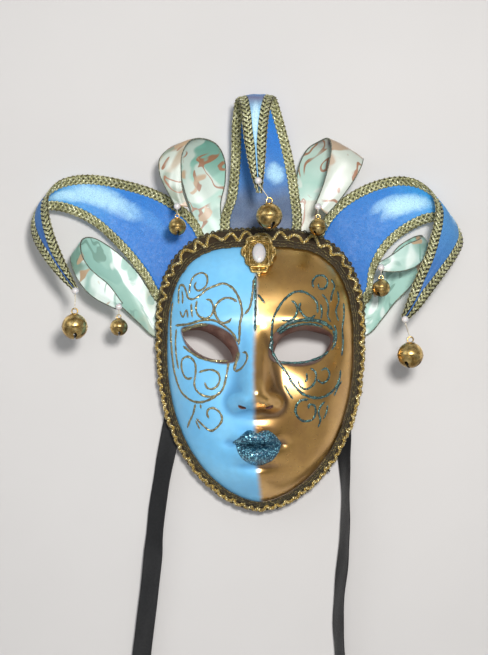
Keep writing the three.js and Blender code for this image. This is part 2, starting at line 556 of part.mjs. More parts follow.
// A square grid bent to the rim's outline, denser across the middle. Both skins join along the rim.
function faceShell() {
  const columns = 28
  const rows = 34
  const bend = (share) => Math.sign(share) * Math.abs(share) ** GRID_CROWDING
  const points = []
  const faces = []
  const grids = [[], []]
  for (let row = 0; row <= rows; row += 1) {
    for (let column = 0; column <= columns; column += 1) {
      const u = bend(2 * column / columns - 1)
      const v = 2 * row / rows - 1
      const across = u * Math.sqrt(1 - v * v / 2)
      const up = v * Math.sqrt(1 - u * u / 2)
      const angle = Math.atan2(up, across)
      const onRim = row === 0 || row === rows || column === 0 || column === columns
      const spread = Math.hypot(across, up)
      const share = onRim ? 1 : spread + RIM_CROWDING * spread ** 4 * (1 - spread)
      const outer = facePoint(share, angle)
      grids[0].push(points.push(outer) - 1)
      grids[1].push(points.push(onRim ? rimPoint(angle, -SHELL_WALL) : insidePoint(outer, share)) - 1)
    }
  }
  const at = (side, row, column) => grids[side][row * (columns + 1) + column]
  const addQuad = (a, b, c, d) => faces.push([a, b, c], [a, c, d])
  for (let row = 0; row < rows; row += 1) {
    for (let column = 0; column < columns; column += 1) {
      addQuad(at(0, row, column), at(0, row, column + 1), at(0, row + 1, column + 1), at(0, row + 1, column))
      addQuad(at(1, row, column), at(1, row + 1, column), at(1, row + 1, column + 1), at(1, row, column + 1))
    }
  }
  for (let column = 0; column < columns; column += 1) {
    addQuad(at(0, 0, column + 1), at(0, 0, column), at(1, 0, column), at(1, 0, column + 1))
    addQuad(at(0, rows, column), at(0, rows, column + 1), at(1, rows, column + 1), at(1, rows, column))
  }
  for (let row = 0; row < rows; row += 1) {
    addQuad(at(0, row, 0), at(0, row + 1, 0), at(1, row + 1, 0), at(1, row, 0))
    addQuad(at(0, row + 1, columns), at(0, row, columns), at(1, row, columns), at(1, row + 1, columns))
  }
  let solid = solidOf(facingOut(geometryOf(points, faces)))
  EYE_HOLES.forEach((eye) => {
    solid = solid.subtract(eyeCutter(eye))
  })
  return geometryFrom(solid.subtract(nostrilCutter(-1)).subtract(nostrilCutter(1)))
}

function insidePoint(outer, share) {
  const point = outer.clone().addScaledVector(faceNormal(outer.x, outer.z), -wallAt(outer.x, outer.z))
  point.y = Math.min(point.y, -0.02 * FACE_DEPTH * (1 - share))
  return point
}

// Rim braid

function byHeight(sizes, angle) {
  const height = Math.sin(angle)
  const end = height > 0 ? sizes.crown : sizes.chin
  return sizes.side + (end - sizes.side) * height * height
}

function faceTrim() {
  const steps = 52
  const rings = []
  for (let step = 0; step < steps; step += 1) {
    const angle = 2 * Math.PI * step / steps
    const lap = rimPoint(angle, -byHeight(TRIM_LAP, angle))
    const inner = new THREE.Vector3(lap.x, faceY(lap.x, lap.z), lap.z)
    inner.addScaledVector(faceNormal(lap.x, lap.z), GAP * 1.5)
    const outer = rimPoint(angle, byHeight(TRIM_OVERHANG, angle))
    outer.y = -TRIM_BACK
    const outwards = rimPoint(angle, 1).sub(rimPoint(angle))
    const across = outer.clone().sub(inner).normalize()
    const rise = across.clone().multiplyScalar(-outwards.dot(across)).add(outwards).negate().normalize()
    if (rise.y > 0) rise.negate()
    const lift = (point, share) => point.clone().addScaledVector(rise, share * TRIM_THICKNESS)
    const crest = lift(inner.clone().lerp(outer, MIDDLE), TRIM_MIDDLE)
    rings.push([inner, outer, lift(outer, TRIM_EDGE), crest, lift(inner, TRIM_EDGE)])
  }
  return skinRings(rings, true)
}

// Cloth points

function clothPoint(size, side, roots, rows) {
  const { middle } = roots
  const place = (out, up, fore) => new THREE.Vector3(
    middle.x + side * out * size.reach, -fore * size.fore, middle.z + up * size.rise)
  const first = {
    aOut: side * (roots.a.x - middle.x) / size.reach, aUp: (roots.a.z - middle.z) / size.rise,
    aFore: -roots.a.y / size.fore,
    bOut: side * (roots.b.x - middle.x) / size.reach, bUp: (roots.b.z - middle.z) / size.rise,
    bFore: -roots.b.y / size.fore,
  }
  const all = [first, ...rows]
  const edgeA = (along) => {
    const row = smoothRow(all, along)
    return place(row.aOut, row.aUp, row.aFore)
  }
  const edgeB = (along) => {
    const row = smoothRow(all, along)
    return place(row.bOut, row.bUp, row.bFore)
  }
  const across = roots.b.clone().sub(roots.a)
  const out = edgeA(0.2).add(edgeB(0.2)).divideScalar(2).sub(middle)
  return { edgeA, edgeB, facing: Math.sign(across.cross(out).dot(AHEAD)) }
}

// Steps along a point, and how much sooner the velvet ends than the braid's inner edge, as a share
const CLOTH_STEPS = 20
const TIP_CLEARANCE = 0.004

// A point's middle surface, cambered across, and its unit normal, which faces ahead at the root
function sheetPoint(cloth, along, across, camber) {
  const a = cloth.edgeA(along)
  const b = cloth.edgeB(along)
  const ahead = cloth.edgeA(Math.min(1, along + 0.01)).add(cloth.edgeB(Math.min(1, along + 0.01)))
  const behind = cloth.edgeA(Math.max(0, along - 0.01)).add(cloth.edgeB(Math.max(0, along - 0.01)))
  const run = ahead.sub(behind).normalize()
  const width = a.distanceTo(b)
  const normal = b.clone().sub(a).cross(run).normalize().multiplyScalar(cloth.facing)
  const grown = Math.max(0, Math.min(1, 5 * (along - ROOT_FLAT)))
  const arch = camber * width * 4 * across * (1 - across) * grown
  return { point: a.lerp(b, across).addScaledVector(normal, -arch), normal }
}

function slab(sections, thickness) {
  const rings = sections.map((section) => {
    const top = section.map(({ point, normal }) => point.clone().addScaledVector(normal, thickness / 2))
    const bottom = section.map(({ point, normal }) => point.clone().addScaledVector(normal, -thickness / 2))
    return [...top, ...bottom.reverse()]
  })
  return skinRings(rings)
}

function sampled(count, make) {
  return Array.from({ length: count + 1 }, (unused, step) => make(step / count))
}

function edgeShare(cloth, along, inset) {
  return Math.min(0.5, inset / cloth.edgeA(along).distanceTo(cloth.edgeB(along)))
}

// Where the two braids meet: the last place where the velvet between them is still a narrow strip
function velvetEnd(cloth) {
  const least = 2 * BRAID_WIDTH + 3 * GAP + VELVET_LEAST
  let along = 1
  while (along > 0.3 && cloth.edgeA(along).distanceTo(cloth.edgeB(along)) < least) along -= 0.005
  return along
}

function velvetSheet(cloth) {
  const end = velvetEnd(cloth)
  const inset = BRAID_WIDTH + GAP
  return slab(sampled(CLOTH_STEPS, (share) => {
    const along = Math.min(share * end, end - TIP_CLEARANCE)
    const edge = edgeShare(cloth, along, inset)
    return sampled(3, (across) => sheetPoint(cloth, along, edge + (1 - 2 * edge) * across, VELVET_CAMBER))
  }), VELVET_WALL)
}

// One braid runs down edge a, round the tip and back up edge b
function edgeBraid(cloth) {
  const end = velvetEnd(cloth)
  const side = (onA) => sampled(CLOTH_STEPS, (down) => {
    const inner = down * end
    const edge = edgeShare(cloth, inner, BRAID_WIDTH)
    const rim = sheetPoint(cloth, down, onA ? 0 : 1, VELVET_CAMBER)
    const inside = sheetPoint(cloth, inner, onA ? edge : 1 - edge, VELVET_CAMBER)
    return [rim, inside]
  })
  return slab([...side(true), ...side(false).reverse()], BRAID_THICKNESS)
}

function ribbonSheet(cloth) {
  return slab(sampled(CLOTH_STEPS, (along) => sampled(3, (across) => (
    sheetPoint(cloth, along, across, RIBBON_CAMBER)))), RIBBON_WALL)
}

// Roots lie flat on the rim's back, the ribbons behind the velvet
function rootPoint(angle, behind) {
  const point = rimPoint(angle * RADIANS, -ROOT_LAP)
  point.y = behind
  return point
}

const VELVET_SEAT = GAP + BRAID_THICKNESS / 2
const RIBBON_SEAT = 2 * GAP + BRAID_THICKNESS + RIBBON_WALL / 2

function rooted(angleA, angleB, behind) {
  const middle = rimPoint(angleA * RADIANS).add(rimPoint(angleB * RADIANS)).divideScalar(2)
  return { a: rootPoint(angleA, behind), b: rootPoint(angleB, behind), middle }
}

// Pearls, bells and links

// The pearl is sewn on the cloth's front, at or above the tip, at a share across from edge a to edge b
function pearlPlace(cloth, thickness, above, across = MIDDLE) {
  const tip = cloth.edgeA(1).add(cloth.edgeB(1)).divideScalar(2)
  const sewn = (along) => sheetPoint(cloth, along, across, VELVET_CAMBER).point
  let along = 1
  while (along > 0.5 && sewn(along).distanceTo(tip) < above) along -= 0.002
  const forward = thickness / 2 + PEARL_STANDOFF + PEARL_RADIUS
  const drop = above > 0 ? 0 : PEARL_DROP
  return sewn(along).addScaledVector(AHEAD, forward).addScaledVector(UP, -drop)
}

// A long link in the plane x = 0, its top at the origin
function linkGeometry(link, length) {
  const straight = length / 2 - link.radius
  const steps = 8
  const rings = []
  for (let step = 0; step < steps; step += 1) {
    const angle = 2 * Math.PI * (step + 0.5) / steps
    const outward = new THREE.Vector3(0, Math.cos(angle), Math.sin(angle))
    const centre = outward.clone().multiplyScalar(link.radius)
    centre.z += Math.sign(Math.sin(angle)) * straight - length / 2
    rings.push(sampled(4, (share) => {
      const turn = 2 * Math.PI * share * 4 / 5
      const side = new THREE.Vector3(Math.sin(turn), 0, 0).addScaledVector(outward, Math.cos(turn))
      return centre.clone().addScaledVector(side, link.wire)
    }))
  }
  return skinRings(rings, true)
}

// A hollow bell whose loop's top is at the origin. Two crossed slots open it below.
function bellGeometry(bell) {
  const sink = bell.loopWire * LOOP_SINK
  const inside = bell.radius - bell.wall
  const outer = new THREE.SphereGeometry(bell.radius, bell.sides, bell.sides / 2)
  const inner = new THREE.SphereGeometry(inside, 8, 5)
  const slotHeight = SLOT_HEIGHT * bell.radius
  const reach = SLOT_REACH * bell.radius
  const slots = [[bell.slot, reach], [reach, bell.slot]].map(([width, depth]) => {
    const box = new THREE.BoxGeometry(width, depth, slotHeight)
    box.translate(0, 0, -bell.radius * SLOT_START - slotHeight / 2)
    return solidOf(box)
  })
  const loop = new THREE.TorusGeometry(bell.loopRadius, bell.loopWire, 5, 10)
  loop.rotateX(Math.PI / 2)
  loop.translate(0, 0, bell.radius + bell.loopRadius - sink)
  let solid = solidOf(outer.rotateX(Math.PI / 2)).add(solidOf(loop))
  solid = solid.subtract(solidOf(inner.rotateX(Math.PI / 2)))
  slots.forEach((slot) => {
    solid = solid.subtract(slot)
  })
  const geometry = geometryFrom(solid)
  geometry.translate(0, 0, -(2 * bell.loopRadius + bell.radius - sink))
  return geometry
}

// Brooch

function broochFrame() {
  const z = BROOCH_PLACE.up * FACE_RISE
  const group = new THREE.Group()
  group.rotation.x = -BROOCH_TILT * RADIANS
  group.position.set(BROOCH_PLACE.x, faceY(0, z) - BROOCH_PLACE.clear, z)
  return group
}

function broochShape() {
  const shape = new THREE.Shape()
  const mirrored = BROOCH_OUTLINE.slice(1).reverse().map((row) => ({ across: -row.across, up: row.up }))
  const rows = [...BROOCH_OUTLINE, ...mirrored]
  rows.forEach((row, index) => {
    const place = [row.across * BROOCH_WIDTH / 2, row.up * BROOCH_HEIGHT / 2]
    if (index === 0) shape.moveTo(...place)
    else shape.lineTo(...place)
  })
  shape.closePath()
  return shape
}

// The plate stands in the group's own X and Z, with its back on the group's plane
function broochSetting() {
  const plate = new THREE.ExtrudeGeometry(broochShape(), { depth: BROOCH_PLATE, bevelEnabled: false })
  plate.rotateX(Math.PI / 2)
  const bezel = new THREE.SphereGeometry(1, 12, 7)
  bezel.scale(
    BROOCH_PEARL.across / 2 + GAP + BROOCH_BEZEL_WALL, BROOCH_PEARL.depth / 2,
    BROOCH_PEARL.up / 2 + GAP + BROOCH_BEZEL_WALL)
  bezel.translate(0, -BROOCH_PLATE, 0)
  const seat = new THREE.SphereGeometry(1, 12, 7)
  seat.scale(BROOCH_PEARL.across / 2 + GAP, BROOCH_PEARL.depth / 2 + GAP, BROOCH_PEARL.up / 2 + GAP)
  seat.translate(0, -BROOCH_PLATE - BROOCH_PEARL.sunk, 0)
  const backCut = new THREE.BoxGeometry(2 * BROOCH_WIDTH, BROOCH_HEIGHT, 2 * BROOCH_HEIGHT)
  backCut.translate(0, BROOCH_HEIGHT / 2, 0)
  const solid = solidOf(plate).add(solidOf(bezel)).subtract(solidOf(seat)).subtract(solidOf(backCut))
  return geometryFrom(solid)
}

function broochPearl() {
  const pearl = new THREE.SphereGeometry(1, 12, 7)
  pearl.scale(BROOCH_PEARL.across / 2, BROOCH_PEARL.depth / 2, BROOCH_PEARL.up / 2)
  pearl.translate(0, -BROOCH_PLATE - BROOCH_PEARL.sunk, 0)
  return pearl
}

// Ties

function tieGeometry(tieRows) {
  const half = TIE_WIDTH / 2
  const thin = TIE_THICKNESS / 2
  const section = [[-half, 0], [-0.92 * half, -thin], [0, -thin], [0.92 * half, -thin],
    [half, 0], [0.92 * half, thin], [0, thin], [-0.92 * half, thin]]
  const rings = sampled(16, (share) => {
    const { across: out, behind, down, turn } = smoothRow(tieRows, share)
    const middle = new THREE.Vector3(out * FACE_HALF_WIDTH, behind * TIE_WIDTH, -down * TIE_DROP)
    const across = new THREE.Vector3(Math.cos(turn * RADIANS), -Math.sin(turn * RADIANS), 0)
    const through = new THREE.Vector3(Math.sin(turn * RADIANS), Math.cos(turn * RADIANS), 0)
    return section.map(([wide, deep]) => (
      middle.clone().addScaledVector(across, wide).addScaledVector(through, deep)))
  })
  return skinRings(rings)
}

// Assembly

const mask = new THREE.Group()

function finish(colour, roughness, metalness = 0) {
  return new THREE.MeshStandardMaterial({ color: colour, roughness, metalness })
}

const FINISHES = {
  shell: finish(COLOURS.shell, 0.35),
  trim: finish(COLOURS.trim, 0.6, 0.3),
  velvet: finish(COLOURS.velvet, 0.8),
  braid: finish(COLOURS.braid, 0.6, 0.2),
  print: finish(COLOURS.print, 0.45),
  pearl: finish(COLOURS.pearl, 0.2),
  bell: finish(COLOURS.bell, 0.25, 1),
  thread: finish(COLOURS.thread, 0.7),
  setting: finish(COLOURS.setting, 0.4, 1),
  tie: finish(COLOURS.tie, 0.5),
}

function addPiece(name, geometry, material, parent = mask) {
  const mesh = new THREE.Mesh(geometry, material)
  mesh.name = name
  parent.add(mesh)
  return mesh
}

// A pearl on the cloth, a thread link leaning from it, and a bell hanging plumb in the link's end
function addHanging(name, place, bell, link, { length, lean }) {
  addPiece(`${name}_pearl`, new THREE.SphereGeometry(PEARL_RADIUS, 10, 6), FINISHES.pearl)
    .position.copy(place)
  const down = new THREE.Vector3(0, 0, -1).applyAxisAngle(AHEAD, -lean * RADIANS)
  const linkTop = place.clone().addScaledVector(down, PEARL_RADIUS + GAP + link.wire)
  const thread = addPiece(`${name}_link`, linkGeometry(link, length), FINISHES.thread)
  thread.position.copy(linkTop)
  thread.rotation.y = lean * RADIANS
  const loopTop = linkTop.clone().addScaledVector(down, length)
    .addScaledVector(UP, link.wire + bell.loopWire + GAP)
  addPiece(`${name}_bell`, bellGeometry(bell), FINISHES.bell).position.copy(loopTop)
}

addPiece('face_shell', faceShell(), FINISHES.shell)
addPiece('face_trim', faceTrim(), FINISHES.trim)

const brooch = broochFrame()
mask.add(brooch)
addPiece('brooch_setting', broochSetting(), FINISHES.setting, brooch)
addPiece('brooch_pearl', broochPearl(), FINISHES.pearl, brooch)

const VELVET_POINTS = [
  {
    name: 'left_point', size: LEFT_POINT, side: -1, from: 112, to: 148, rows: LEFT_POINT_ROWS,
    link: LEFT_LINK, above: PEARL_ABOVE_TIP.left,
  },
  {
    name: 'centre_point', size: CENTRE_POINT, side: 1, from: 106, to: 74, rows: CENTRE_POINT_ROWS,
    link: CENTRE_LINK, above: PEARL_ABOVE_TIP.centre,
  },
  {
    name: 'right_point', size: RIGHT_POINT, side: 1, from: 69, to: 32, rows: RIGHT_POINT_ROWS,
    link: RIGHT_LINK, above: PEARL_ABOVE_TIP.right,
  },
]
VELVET_POINTS.forEach(({ name, size, side, from, to, rows, link, above }) => {
  const cloth = clothPoint(size, side, rooted(from, to, VELVET_SEAT), rows)
  addPiece(`${name}_velvet`, velvetSheet(cloth), FINISHES.velvet)
  addPiece(`${name}_braid`, edgeBraid(cloth), FINISHES.braid)
  addHanging(name, pearlPlace(cloth, BRAID_THICKNESS, above), LARGE_BELL, LARGE_LINK, link)
})

const RIBBON_POINTS = [
  {
    name: 'upper_left', size: UPPER_LEFT_RIBBON, side: -1, from: 113, to: 105,
    rows: UPPER_LEFT_RIBBON_ROWS, pearlAcross: 0.17,
  },
  {
    name: 'upper_right', size: UPPER_RIGHT_RIBBON, side: 1, from: 75, to: 64,
    rows: UPPER_RIGHT_RIBBON_ROWS, pearlAcross: 0.2,
  },
  {
    name: 'lower_left', size: LOWER_LEFT_RIBBON, side: -1, from: 140, to: 157,
    rows: LOWER_LEFT_RIBBON_ROWS, pearlAcross: MIDDLE,
  },
  {
    name: 'lower_right', size: LOWER_RIGHT_RIBBON, side: 1, from: 40, to: 23,
    rows: LOWER_RIGHT_RIBBON_ROWS, pearlAcross: MIDDLE,
  },
]
RIBBON_POINTS.forEach(({ name, size, side, from, to, rows, pearlAcross }) => {
  const cloth = clothPoint(size, side, rooted(from, to, RIBBON_SEAT), rows)
  addPiece(`${name}_ribbon`, ribbonSheet(cloth), FINISHES.print)
  const place = pearlPlace(cloth, RIBBON_WALL, PEARL_ABOVE_TIP.ribbon, pearlAcross)
  addHanging(name, place, SMALL_BELL, SMALL_LINK, RIBBON_LINK)
})

addPiece('left_tie', tieGeometry(LEFT_TIE_ROWS), FINISHES.tie)
addPiece('right_tie', tieGeometry(RIGHT_TIE_ROWS), FINISHES.tie)

export default mask
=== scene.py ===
"""A jester's carnival mask: a painted face, a braided rim, velvet and printed points, pearls and bells.

The tables are in millimetres or in shares of the named sizes, and repeat the part's own. Meshes are in
metres. The face looks along -Y and its rim lies in the plane y = 0.
"""

import math

import bmesh
import bpy
import numpy as np
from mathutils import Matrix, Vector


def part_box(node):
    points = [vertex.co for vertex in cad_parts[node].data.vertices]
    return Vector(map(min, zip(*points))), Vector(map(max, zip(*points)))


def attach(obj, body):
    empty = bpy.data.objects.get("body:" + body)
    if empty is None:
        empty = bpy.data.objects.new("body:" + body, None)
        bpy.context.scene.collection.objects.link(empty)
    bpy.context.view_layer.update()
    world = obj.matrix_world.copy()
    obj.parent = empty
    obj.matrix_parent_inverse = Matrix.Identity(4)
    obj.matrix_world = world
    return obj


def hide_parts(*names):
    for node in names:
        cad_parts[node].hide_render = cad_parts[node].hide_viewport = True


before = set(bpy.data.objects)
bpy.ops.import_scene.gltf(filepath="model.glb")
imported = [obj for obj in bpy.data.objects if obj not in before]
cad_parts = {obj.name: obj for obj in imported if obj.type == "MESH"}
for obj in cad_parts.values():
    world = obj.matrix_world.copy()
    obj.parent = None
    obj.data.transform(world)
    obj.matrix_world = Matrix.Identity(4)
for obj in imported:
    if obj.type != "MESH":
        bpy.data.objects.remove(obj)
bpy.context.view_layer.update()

MM = 0.001
TAU = 2 * math.pi
GAP = 0.3

# Photograph's frame: pixels, and millimetres to a pixel in the rim's plane
FRAME_WIDTH = 488
FRAME_HEIGHT = 655
PIXEL = 0.85
EYE_POINT = (-14.0, -1250.0, 13.2)
SENSOR = 36.0

FACE_HALF_WIDTH = 81.6
FACE_RISE = 86.5
FACE_DROP = 136.2
FACE_DEPTH = 46
SHELL_WALL = 2.5
EYE_WALL = 6
CROWN_BEND = (2.5, 0.294)
JAW_BEND = (2.33, 0.58)
DOME_BEND = (2.4, 0.55)
RELIEF_FADE = 8
GRID_CROWDING = 1.12
RIM_CROWDING = 0.6
GRID_MIDDLE_Z = -0.22 * FACE_DROP
FACE_LEAN = -0.055
NOSE_LENGTH = 78
NOSE_WIDTH = 24
NOSE_RISE = 24
NOSE_TOP_UP = 0.118
NOSE_BEND = 2.6
NOSTRIL = {"across": 7, "up": 5.4, "depth": 9, "pitch": 0.6, "roll": 0.35, "out": 0.135, "down": 0.87}

TRIM_THICKNESS = 2.5
TRIM_BACK = 2.6

# How far the braid reaches out from the rim and in over the face, a little inside its solid
TRIM_OVERHANG = {"crown": 9.6, "side": 4.4, "chin": 4.2}
TRIM_LAP = {"crown": 6, "side": 3.4, "chin": 3}

ROOT_LAP = 7
ROOT_FLAT = 0.1
VELVET_WALL = 2
VELVET_CAMBER = 0.07
BRAID_WIDTH = 8.5
BRAID_THICKNESS = 2.6
RIBBON_WALL = 1
RIBBON_CAMBER = 0.05
VELVET_SEAT = GAP + BRAID_THICKNESS / 2
RIBBON_SEAT = 2 * GAP + BRAID_THICKNESS + RIBBON_WALL / 2

LARGE_BELL = {"radius": 10.5, "wall": 0.8, "slot": 1.8, "loop": 2.4, "wire": 0.6}
SMALL_BELL = {"radius": 7.3, "wall": 0.7, "slot": 1.4, "loop": 1.7, "wire": 0.4}
LOOP_SINK = 0.7

BROOCH_WIDTH = 30
BROOCH_HEIGHT = 43
BROOCH_PLATE = 2.4
BROOCH_TILT = 34
BROOCH_PEARL = {"across": 11.5, "up": 20, "depth": 9, "sunk": 1}
BROOCH_PLACE = {"x": -1.5, "up": 0.845, "clear": 2.6}

TIE_WIDTH = 16
TIE_THICKNESS = 1
TIE_DROP = 290

# Relief on the face: middle across and up, spread across and up, height, steepness of its sides, and
# whether it is mirrored
RELIEF = [
    (0, 0.33, 0.55, 0.22, 0.065, 1, False),
    (0.46, 0.14, 0.3, 0.07, 0.08, 1, True),
    (0.49, -0.015, 0.28, 0.1, -0.17, 1, True),
    (0.58, -0.31, 0.28, 0.16, 0.13, 1, True),
    (0, -0.285, 0.115, 0.068, 0.08, 1.2, False),
    (0.178, -0.352, 0.1, 0.06, 0.18, 1.7, True),
    (0, -0.6, 0.27, 0.15, 0.16, 1, False),
    (0.09, -0.558, 0.11, 0.036, 0.1, 1, True),
    (0, -0.67, 0.17, 0.05, 0.17, 1, False),
    (0, -0.607, 0.2, 0.017, -0.1, 1, False),
    (0.26, -0.6, 0.07, 0.04, -0.06, 1, True),
    (0, -0.745, 0.2, 0.03, -0.08, 1, False),
    (0, -0.81, 0.22, 0.1, 0.18, 1, False),
]

# The nose from root to lip: share of its length, of its height and of its width
NOSE_SECTIONS = [
    (0, 0, 0.3), (0.16, 0.16, 0.32), (0.3, 0.36, 0.4), (0.45, 0.6, 0.48), (0.6, 0.86, 0.54),
    (0.7, 1, 0.57), (0.78, 0.96, 0.56), (0.86, 0.6, 0.52), (0.92, 0.18, 0.46), (1, 0, 0.36),
]

# Eye holes. The outline gives, in shares of the width and height, how far in and up each point lies at
# the back of the wall, and how it moves at the front
EYE_HOLES = [
    {
        "side": -1, "across": 0.546, "up": -0.03, "width": 41.8, "height": 23,
        "outline": [
            (0, 0.98, 0, 0.12), (0.25, 1.08, 0, 0.15), (0.51, 1, 0.02, 0.28), (0.78, 0.68, 0.06, 0.4),
            (0.95, 0.34, 0.09, 0.4), (1, 0.02, 0.12, 0.1), (0.85, -0.02, 0.06, -0.06),
            (0.66, 0.02, 0, -0.06), (0.4, 0.18, 0, -0.06), (0.15, 0.52, -0.03, -0.04),
        ],
    },
    {
        "side": 1, "across": 0.42, "up": -0.035, "width": 45.8, "height": 27,
        "outline": [
            (0, 0.78, -0.03, 0.06), (0.2, 0.92, -0.01, 0.16), (0.52, 1, 0.02, 0.13),
            (0.85, 0.8, 0.04, 0.25), (0.98, 0.5, 0.08, 0.2), (1, 0.2, 0.08, 0), (0.84, 0.05, 0.03, -0.05),
            (0.5, 0, 0, -0.05), (0.2, 0.15, 0, -0.05), (0.03, 0.48, -0.03, 0),
        ],
    },
]
EYE_WALL_REACH = (0.78, 0.95)

# Rows of the points: out, up and fore of edge a, then of edge b, in shares of reach, rise and fore
LEFT_POINT_ROWS = [
    (-0.08, 0.56, -0.02, 0.21, -0.15, -0.02), (0.04, 0.74, 0.04, 0.28, 0.03, 0.03),
    (0.2, 0.87, 0.1, 0.38, 0.22, 0.08), (0.38, 0.95, 0.14, 0.49, 0.39, 0.1),
    (0.56, 1, 0.18, 0.61, 0.54, 0.12), (0.71, 1, 0.24, 0.75, 0.64, 0.14),
    (0.83, 0.94, 0.34, 0.87, 0.68, 0.18), (0.88, 0.82, 0.5, 0.97, 0.66, 0.28),
    (0.88, 0.68, 0.66, 1, 0.54, 0.44), (0.85, 0.5, 0.78, 0.98, 0.4, 0.6),
    (0.8, 0.31, 0.88, 0.91, 0.23, 0.76), (0.73, 0.09, 0.95, 0.8, 0.04, 0.9),
    (0.67, -0.08, 1, 0.7, -0.09, 0.99),
]
RIGHT_POINT_ROWS = [
    (-0.1, 0.56, -0.02, 0.29, -0.16, -0.02), (0.01, 0.74, 0.04, 0.32, 0.06, 0.03),
    (0.16, 0.87, 0.1, 0.39, 0.25, 0.08), (0.33, 0.96, 0.14, 0.49, 0.39, 0.1),
    (0.5, 1, 0.18, 0.62, 0.5, 0.12), (0.64, 0.97, 0.25, 0.76, 0.57, 0.14),
    (0.74, 0.87, 0.36, 0.89, 0.57, 0.19), (0.78, 0.73, 0.52, 0.98, 0.49, 0.3),
    (0.77, 0.59, 0.66, 1, 0.36, 0.46), (0.73, 0.41, 0.78, 0.94, 0.22, 0.62),
    (0.68, 0.23, 0.87, 0.84, 0.06, 0.77), (0.6, 0.02, 0.94, 0.73, -0.11, 0.88),
    (0.54, -0.18, 0.98, 0.63, -0.26, 0.96), (0.49, -0.34, 1, 0.54, -0.36, 1),
]
CENTRE_POINT_ROWS = [
    (-0.94, 0.16, -0.02, 0.97, 0.16, -0.02), (-0.78, 0.32, 0.06, 0.91, 0.32, 0.06),
    (-0.71, 0.48, 0.13, 0.83, 0.48, 0.13), (-0.68, 0.64, 0.19, 0.72, 0.64, 0.19),
    (-0.67, 0.8, 0.25, 0.57, 0.81, 0.25), (-0.63, 0.92, 0.32, 0.44, 0.94, 0.32),
    (-0.59, 0.98, 0.42, 0.36, 1, 0.42), (-0.54, 0.99, 0.56, 0.31, 1, 0.56),
    (-0.49, 0.95, 0.69, 0.25, 0.96, 0.69), (-0.44, 0.86, 0.8, 0.18, 0.87, 0.8),
    (-0.4, 0.73, 0.88, 0.13, 0.74, 0.88), (-0.33, 0.59, 0.93, 0.1, 0.6, 0.93),
    (-0.23, 0.45, 0.97, 0.06, 0.45, 0.97), (-0.09, 0.31, 1, 0.01, 0.31, 1),
]
UPPER_LEFT_ROWS = [
    (0.33, 0.35, -0.11, -0.08, 0.35, -0.11), (0.43, 0.58, 0, -0.14, 0.58, -0.04),
    (0.47, 0.76, 0.18, -0.14, 0.78, 0.1), (0.45, 0.87, 0.38, -0.04, 0.92, 0.38),
    (0.48, 0.91, 0.59, 0.14, 0.97, 0.56), (0.6, 0.86, 0.78, 0.31, 0.94, 0.76),
    (0.71, 0.76, 0.91, 0.41, 0.81, 0.91), (0.7, 0.62, 0.97, 0.42, 0.64, 0.97),
    (0.61, 0.48, 1, 0.4, 0.48, 1), (0.5, 0.34, 1, 0.33, 0.33, 1),
]
UPPER_RIGHT_ROWS = [
    (-0.16, 0.34, -0.11, 0.28, 0.34, -0.11), (-0.18, 0.54, -0.05, 0.37, 0.54, 0),
    (-0.14, 0.74, 0.08, 0.51, 0.68, 0.16), (-0.04, 0.88, 0.26, 0.61, 0.77, 0.34),
    (0.1, 0.94, 0.5, 0.65, 0.78, 0.54), (0.21, 0.96, 0.75, 0.66, 0.77, 0.76),
    (0.25, 0.88, 0.91, 0.63, 0.7, 0.91), (0.22, 0.73, 0.97, 0.54, 0.58, 0.97),
    (0.15, 0.54, 1, 0.37, 0.41, 1), (0.05, 0.36, 1, 0.2, 0.27, 1),
]
LOWER_LEFT_ROWS = [
    (0.12, 0.27, -0.11, 0.11, -0.19, -0.11), (0.26, 0.5, -0.1, 0.24, -0.05, -0.02),
    (0.42, 0.69, -0.08, 0.38, 0.11, 0.1), (0.56, 0.81, 0.03, 0.54, 0.28, 0.24),
    (0.65, 0.86, 0.19, 0.69, 0.47, 0.34), (0.72, 0.85, 0.4, 0.8, 0.61, 0.46),
    (0.74, 0.78, 0.62, 0.83, 0.65, 0.6), (0.72, 0.66, 0.78, 0.82, 0.57, 0.74),
    (0.66, 0.54, 0.88, 0.77, 0.43, 0.86), (0.58, 0.45, 0.94, 0.69, 0.3, 0.94),
    (0.48, 0.35, 0.97, 0.59, 0.2, 0.97), (0.36, 0.16, 1, 0.42, 0.1, 1),
]
LOWER_RIGHT_ROWS = [
    (0.13, 0.21, -0.11, 0.14, -0.16, -0.11), (0.23, 0.4, -0.1, 0.28, 0.01, -0.02),
    (0.32, 0.6, -0.08, 0.4, 0.18, 0.1), (0.42, 0.76, 0.03, 0.55, 0.35, 0.24),
    (0.54, 0.85, 0.19, 0.65, 0.54, 0.34), (0.62, 0.88, 0.4, 0.72, 0.69, 0.46),
    (0.64, 0.86, 0.62, 0.73, 0.73, 0.6), (0.58, 0.82, 0.78, 0.67, 0.65, 0.75),
    (0.47, 0.77, 0.88, 0.56, 0.54, 0.88), (0.34, 0.67, 0.94, 0.41, 0.49, 0.94),
    (0.2, 0.58, 1, 0.24, 0.49, 1),
]

# Half of the brooch's outline, in shares of its half width and height
BROOCH_OUTLINE = [
    (0, 1), (0.26, 0.9), (0.5, 0.92), (0.74, 0.74), (0.74, 0.52), (0.98, 0.3), (1, 0.04),
    (0.82, -0.14), (0.76, -0.42), (0.54, -0.56), (0.46, -0.8), (0.14, -0.86), (0.08, -1),
]

